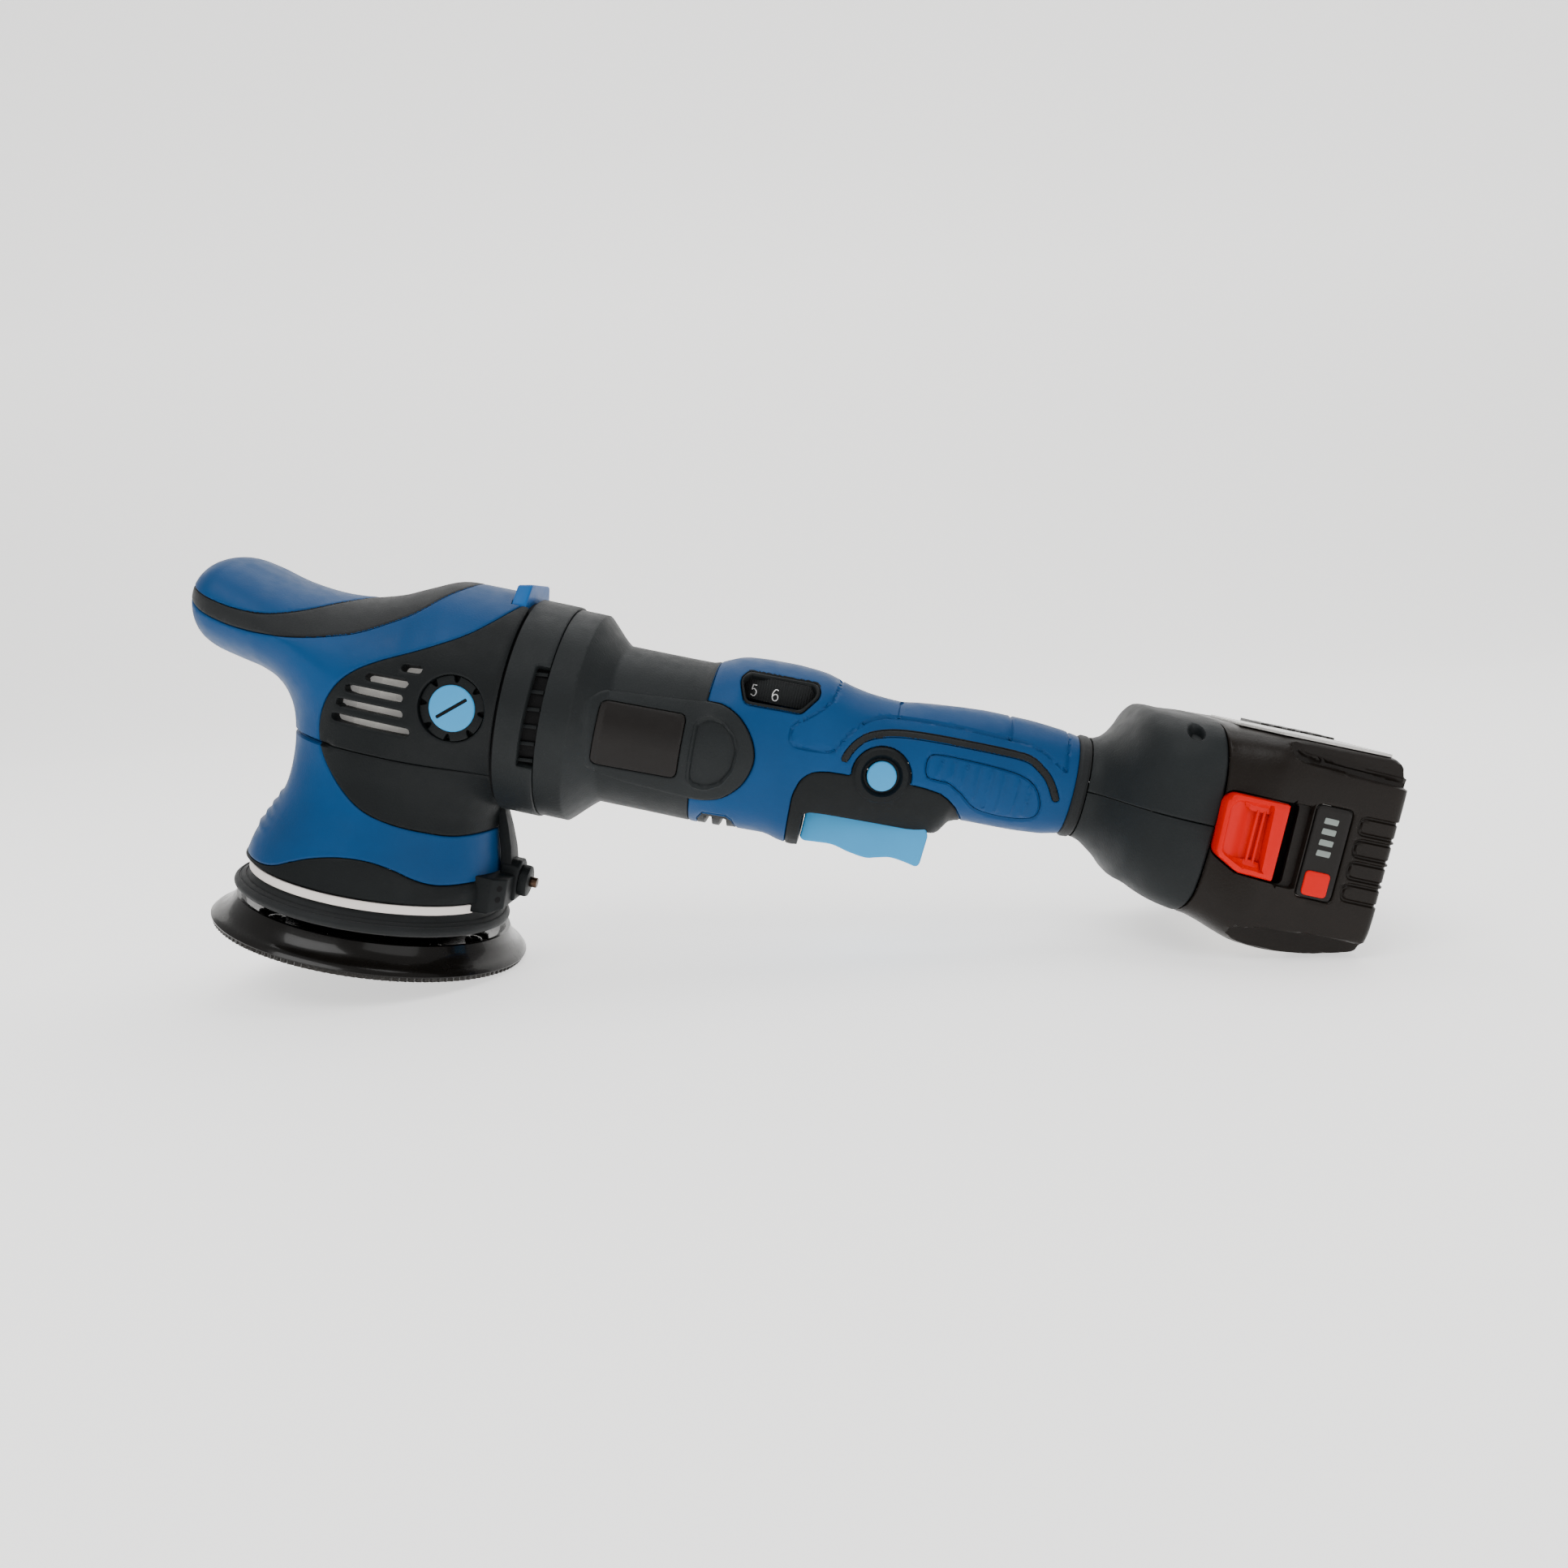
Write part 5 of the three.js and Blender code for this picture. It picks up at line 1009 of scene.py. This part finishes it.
def battery():
    skin = Skin(battery_field(), (302, -60, 82), (371, 60, 162), 1.6)
    skin.trim(BEHIND_FOOT, -0.4)
    skin.press(BEHIND_FOOT, (-1.2, -0.8, -0.4), (0, 0.1, 0.45))
    skin.press(beside(LEDGE), (0.3, 0.8), (-0.55, 0))
    latch, gauge = shape(LATCH), shape(GAUGE)
    on_left = lambda edge: (lambda p: np.maximum(edge(p), p[:, 1] + 40))
    skin.seam(on_left(gauge))
    skin.press(on_left(shape(LATCH_RUN)), (-0.4, 0), (2.0, 0))
    skin.trim(lambda p: -on_left(latch)(p) + 0.3)
    for panel in REAR_PANELS:
        skin.press(on_left(shape(panel)), (-1.1, -0.5, 0, 0.5), (0.25, 0.7, 0.7, 0))
    skin.finish()
    inside = lambda p: on_left(gauge)(p) < 0
    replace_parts(skin.piece("battery_shell", lambda p: ~inside(p), GRAPHITE, 2, "battery"), "battery_case")
    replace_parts(skin.piece("gauge_window", inside, LABEL, 1.6, "battery"), "gauge_panel")
    for z in (132.3, 128.6, 124.7, 120.9):
        lamp = rounded([(342.2, z + 1), (347, z + 0.9), (346.8, z - 1.2), (342, z - 1.1)], 0.4)
        block(f"gauge_lamp_{round(z)}", lamp, -56.75, -55.4, 0.15, LAMP, "battery")
    # A dark sheet behind the latch's opening: painted shade for the well.
    well = [(306.4, 105.6), (338, 105.6), (338, 137), (306.4, 137)]
    block("latch_well", well, -46.4, -45.6, 0, PAINTED_SHADE, "battery")
    # A dark plate across the battery's hollow inside: painted shade where the open shells let one look in.
    bulkhead = rounded([(-45.4, 88), (48.4, 88), (48.4, 155.4), (-45.4, 155.4)], 6)
    block("battery_bulkhead", bulkhead, 312.6, 313.6, 0, PAINTED_SHADE, "battery", plane="yz")
    red = rounded([(340.2, 114.2), (348.8, 114.2), (348.8, 105.5), (340.2, 105.5)], 1.6)
    red = block("gauge_push_button", red, -57.3, -53.4, 0.4, RED, "gauge_button")
    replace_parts(red, "gauge_button")
    label = rounded([(312, -36), (325, -46), (363, -47), (363, 8), (312, 8)], 2)
    block("battery_label", label, 157.9, 158.95, 0.15, LABEL_SILVER, "battery", plane="xy")
    for count in range(6):
        x = 334 + count * 5.2
        fin = rounded([(x, 14), (x + 3.2, 14), (x + 3.2, 44), (x, 44)], 0.5)
        block(f"battery_fin_{count}", fin, 157.6, 159.6, 0.3, GRAPHITE, "battery", plane="xy")


battery()

LATCH_FACE, LATCH_ROUND = -57.2, 1.2
POCKET = rounded([(311.8, 133.2), (324.4, 133.2), (325.4, 109.8), (318.2, 110.2), (310.4, 114),
                  (309.8, 130.6)], [2.4, 1, 1, 2.4, 3, 2.4])


def latch():
    edge = shape(LATCH)

    def field(p):
        step = np.where(p[:, 0] > 329.4, np.minimum(1.4, (p[:, 0] - 329.4) * 2), 0)
        outside = edge(p) + 0.5
        face = LATCH_FACE - p[:, 1] + step
        rim = np.hypot(np.maximum(0, face + LATCH_ROUND), np.maximum(0, outside + LATCH_ROUND)) - LATCH_ROUND
        rim = rim + np.minimum(0, np.maximum(face, outside) + LATCH_ROUND)
        # Its back is far in, except where it slides over the case.
        return np.maximum(rim, p[:, 1] + 47 + 8.2 * np.clip((p[:, 0] - 327.2) / 0.6, 0, 1))
    skin = Skin(field, (303, -60, 103), (338, -44, 140), 1.2)
    pocket = shape(POCKET)
    depth = lambda p: 1.0 + 6.6 * step_up(p[:, 0], 310, 324.4)
    skin.press(lambda p: np.where(p[:, 1] < -54, pocket(p), 9), (-1.1, -0.5, 0.1), (1, 0.85, 0), depth)
    skin.finish()
    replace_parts(skin.piece("latch_grip", lambda p: p[:, 0] > 0, RED, 0.8, "battery_latch"), "battery_latch")
    for count in range(2):
        x = 319.6 + count * 2.3
        rib = rounded([(x, 131.6), (x + 1, 131.6), (x + 1, 111.6), (x, 111.4)], 0.4)
        block(f"latch_rib_{count}", rib, -54.6, -49, 0.3, RED, "battery_latch")


latch()

# ------------------------ plate, shroud, clamp
ORBIT = (np.array(joints["plate_spin"]["pos_m"]) - np.array(ORIGIN)) @ TOOL / MM
BOSS_RADIUS, BOSS_SPREAD = 43.5, 6.5    # the raised rings' circle, and half the degrees within a pair


def plate():
    centre = (ORBIT[0], ORBIT[1])
    cone = smooth([(63.1, 2.5), (61.6, 4), (58.9, 5.8), (56.6, 8.2), (55, 11)], 4)
    profile = outline_of((9, 1.9), (62.4, 1.9), (63, 2.1), cone, (54.6, 11.8), (53.4, 12), (52.6, 11.4),
                         (51.2, 8.6), (49.6, 7.4), (37, 7.6), (31, 9.6), (23, 15.4), (21, 16.6), (4.6, 16.6),
                         (4.6, 10), (9, 10))
    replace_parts(turned("plate_cone", profile, GLOSS, "plate", centre=centre, segments=160), "backing_plate")
    fringe = round_outline(centre, 540, lambda i: 62 + 0.45 * math.sin(i * 2.39) * math.sin(i * 0.71))
    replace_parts(block("hook_disc", fringe, 0.2, 1.7, 0, FUZZ, "plate", plane="xy"), "hook_layer")
    ring = [(1.5, 7.1), (3.4, 7.1), (3.3, 8.3), (2.9, 8.6), (1.9, 8.6), (1.5, 8.2)]
    for count in range(16):
        turn = math.radians(45 * (count // 2) + (-BOSS_SPREAD if count % 2 else BOSS_SPREAD) - 90)
        place = (centre[0] + BOSS_RADIUS * math.cos(turn), centre[1] + BOSS_RADIUS * math.sin(turn))
        turned(f"plate_boss_{count}", ring, GLOSS, "plate", centre=place, segments=32)


plate()
# A dark ring inside the skirt: painted shade under the head.
turned("skirt_liner", [(44.6, 31), (45.2, 31), (45.2, 38), (44.6, 38)], PAINTED_SHADE)
lip = smooth([(52.6, 17), (54, 18), (54.2, 19.4), (53.2, 20.7)], 4)
flange = outline_of((45, 17.4), (50.4, 16.8), lip, (52.6, 20.9), (52.4, 20.6), (52, 20.7), (51.8, 21.1),
                    (50.4, 21.8), (50.2, 21.5), (49.8, 21.6), (49.6, 22.1), (48.4, 23.4), (48.2, 24),
                    (48.2, 29), (45, 29.2))
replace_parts(turned("shroud_flange", flange, RUBBER, segments=160), "shroud_ring")
strip = rounded([(48.5, 24.6), (49.5, 24.6), (49.5, 28.1), (48.5, 28.1)], 0.3, 3)
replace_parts(turned("clamp_strip", strip, WHITE, segments=150, angles=(23.5, 336.5)), "clamp_band")

CLAMP_Z = 37                      # height of the knob's axis
CLAMP_PLAN = [(40, -21), (51.6, -21), (56.4, -16), (56.4, 16), (51.6, 21), (40, 21)]
clamp_body = block("clamp_body", CLAMP_PLAN, 24.8, 39.8, 0.8, BLACK, plane="xy",
                   taper=lambda v: (v.x, v.y, v.z + (max(0, v.x - 50) * 0.45 if v.z < 30 else 0)))
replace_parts(clamp_body, "clamp_block")
BOSS = rounded([(-6.6, 29), (6.6, 29), (6.6, 43), (3, 45.4), (-3, 45.4), (-6.6, 43)], 2)
block("clamp_boss", BOSS, 50, 57.8, 0.9, BLACK, plane="yz")
ARM = rounded([(43.9, 64.6), (46.4, 66), (49.8, 58), (52.6, 50), (54.4, 42), (50.4, 38), (49.2, 46),
               (46.6, 55)], 1)
strut = block("clamp_arm", ARM, -6, 6, 0.7, BLACK,
              taper=lambda v: (v.x, v.y * (1 - 0.02 * max(0, v.z - 42)), v.z))
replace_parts(strut, "clamp_strut")
EYE_TURN = math.radians(45)       # the eyes look out of the block's chamfered corner
# The eyes are thin dark discs of painted shade.
for name, z in (("upper", 36), ("lower", 31.6)):
    block(f"clamp_eye_{name}", circle(0, z, 1.25, 24), -0.06, 0.6, 0, PAINTED_SHADE,
          taper=lambda v: (54.1 + v.x * math.cos(EYE_TURN) - v.y * math.sin(EYE_TURN),
                           -18.4 + v.x * math.sin(EYE_TURN) + v.y * math.cos(EYE_TURN), v.z))
knob_profile = [(0, 57.5), (5.4, 57.5), (6.3, 58.1), (6.4, 58.7), (6.4, 60.5), (6.1, 61.3), (5, 61.7),
                (0, 61.7)]
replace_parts(turned("clamp_nut", knob_profile, BLACK, "clamp_knob", about="motor", centre=(0, CLAMP_Z),
                   segments=48), "clamp_knob")
bolt_profile = [(0, 61.5), (2.0, 61.5), (2.1, 61.8), (2.1, 64.2), (1.9, 64.5), (0, 64.5)]
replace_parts(turned("clamp_bolt_head", bolt_profile, BRASS, "clamp_knob", about="motor", centre=(0, CLAMP_Z),
                   segments=32), "clamp_bolt")

# ------------------------ surfaces of the CAD pieces that stay
CAD_LOOKS = {"machine_steel": STEEL, "cast_aluminium": GLOWING_CAST, "copper": BRASS, "circuit_green": BOARD,
             "casing_black": BLACK, "soft_black": RUBBER, "hook_fabric": FUZZ, "graphite": GRAPHITE,
             "signal_red": RED, "band_white": WHITE, "casing_blue": BLUE, "control_blue": LIGHT_BLUE}

for cad_piece in frame["nodes"].values():
    slot_name = cad_piece.data.materials[0].name.split(".")[0]
    cad_piece.data.materials.clear()
    cad_piece.data.materials.append(CAD_LOOKS[slot_name])

# ------------------------ camera and light
CAMERA_PLACE = (0.0460, -0.5258, 0.1298)
CAMERA_TURN, CAMERA_DIP, CAMERA_ROLL = -0.0738, 0.117, -0.0720
CAMERA_LENS, SENSOR = 30.34, 36


def camera():
    ahead = Vector((math.sin(CAMERA_TURN), math.cos(CAMERA_TURN), 0))
    right = Vector((math.cos(CAMERA_TURN), -math.sin(CAMERA_TURN), 0))
    level_up = Vector((0, 0, 1))
    forward = ahead * math.cos(CAMERA_DIP) - level_up * math.sin(CAMERA_DIP)
    up = level_up * math.cos(CAMERA_DIP) + ahead * math.sin(CAMERA_DIP)
    turned_right = right * math.cos(CAMERA_ROLL) + up * math.sin(CAMERA_ROLL)
    turned_up = up * math.cos(CAMERA_ROLL) - right * math.sin(CAMERA_ROLL)
    data = bpy.data.cameras.new("camera")
    data.lens, data.sensor_width, data.clip_start = CAMERA_LENS, SENSOR, 0.01
    made = bpy.data.objects.new("camera", data)
    turn = Matrix([[turned_right[i], turned_up[i], -forward[i]] for i in range(3)])
    made.matrix_world = Matrix.Translation(CAMERA_PLACE) @ turn.to_4x4()
    bpy.context.scene.collection.objects.link(made)
    bpy.context.scene.camera = made


def light(name, place, aim, size, power, color=(1, 1, 1)):
    data = bpy.data.lights.new(name, "AREA")
    data.shape, data.size, data.size_y = "RECTANGLE", *size
    data.energy, data.color = power, color
    made = bpy.data.objects.new(name, data)
    made.location = place
    made.rotation_euler = (Vector(aim) - Vector(place)).to_track_quat("-Z", "Y").to_euler()
    bpy.context.scene.collection.objects.link(made)


def studio():
    light("key", (-0.5, -0.9, 1.5), (0, 0, 0.08), (1.2, 0.9), 15)
    light("top", (0.2, 0.5, 1.6), (0, 0, 0.08), (1.8, 1.2), 18)
    light("fill", (1.0, -1.2, 0.6), (0, 0, 0.08), (1.2, 1.0), 5)
    world = bpy.data.worlds.new("studio")
    world.use_nodes = True
    set_inputs(world.node_tree.nodes["Background"], {"Color": (1, 1, 1, 1), "Strength": 0.5})
    bpy.context.scene.world = world
    floor = bpy.data.meshes.new("floor")
    far, back, lift, bend = 3.0, 2.2, 2.4, 0.8
    sweep = [(back - bend + bend * math.sin(a),
              bend - bend * math.cos(a)) for a in np.radians(np.linspace(0, 90, 16))]
    profile = [(-far, 0.0), *sweep, (back, lift)]
    points = [(x, y, z) for x in (-far, far) for y, z in profile]
    count = len(profile)
    floor.from_pydata(points, [], [(i, i + 1, i + 1 + count, i + count) for i in range(count - 1)])
    floor.polygons.foreach_set("use_smooth", [True] * len(floor.polygons))
    stage = bpy.data.objects.new("floor", floor)
    bpy.context.scene.collection.objects.link(stage)
    paper = bpy.data.materials.new("paper")
    paper.use_nodes = True
    set_inputs(paper.node_tree.nodes["Principled BSDF"], {
        "Base Color": (0.9, 0.89, 0.875, 1), "Roughness": 0.7,
        "Emission Color": (1, 0.995, 0.985, 1), "Emission Strength": 0.95})
    floor.materials.append(paper)


camera()
studio()
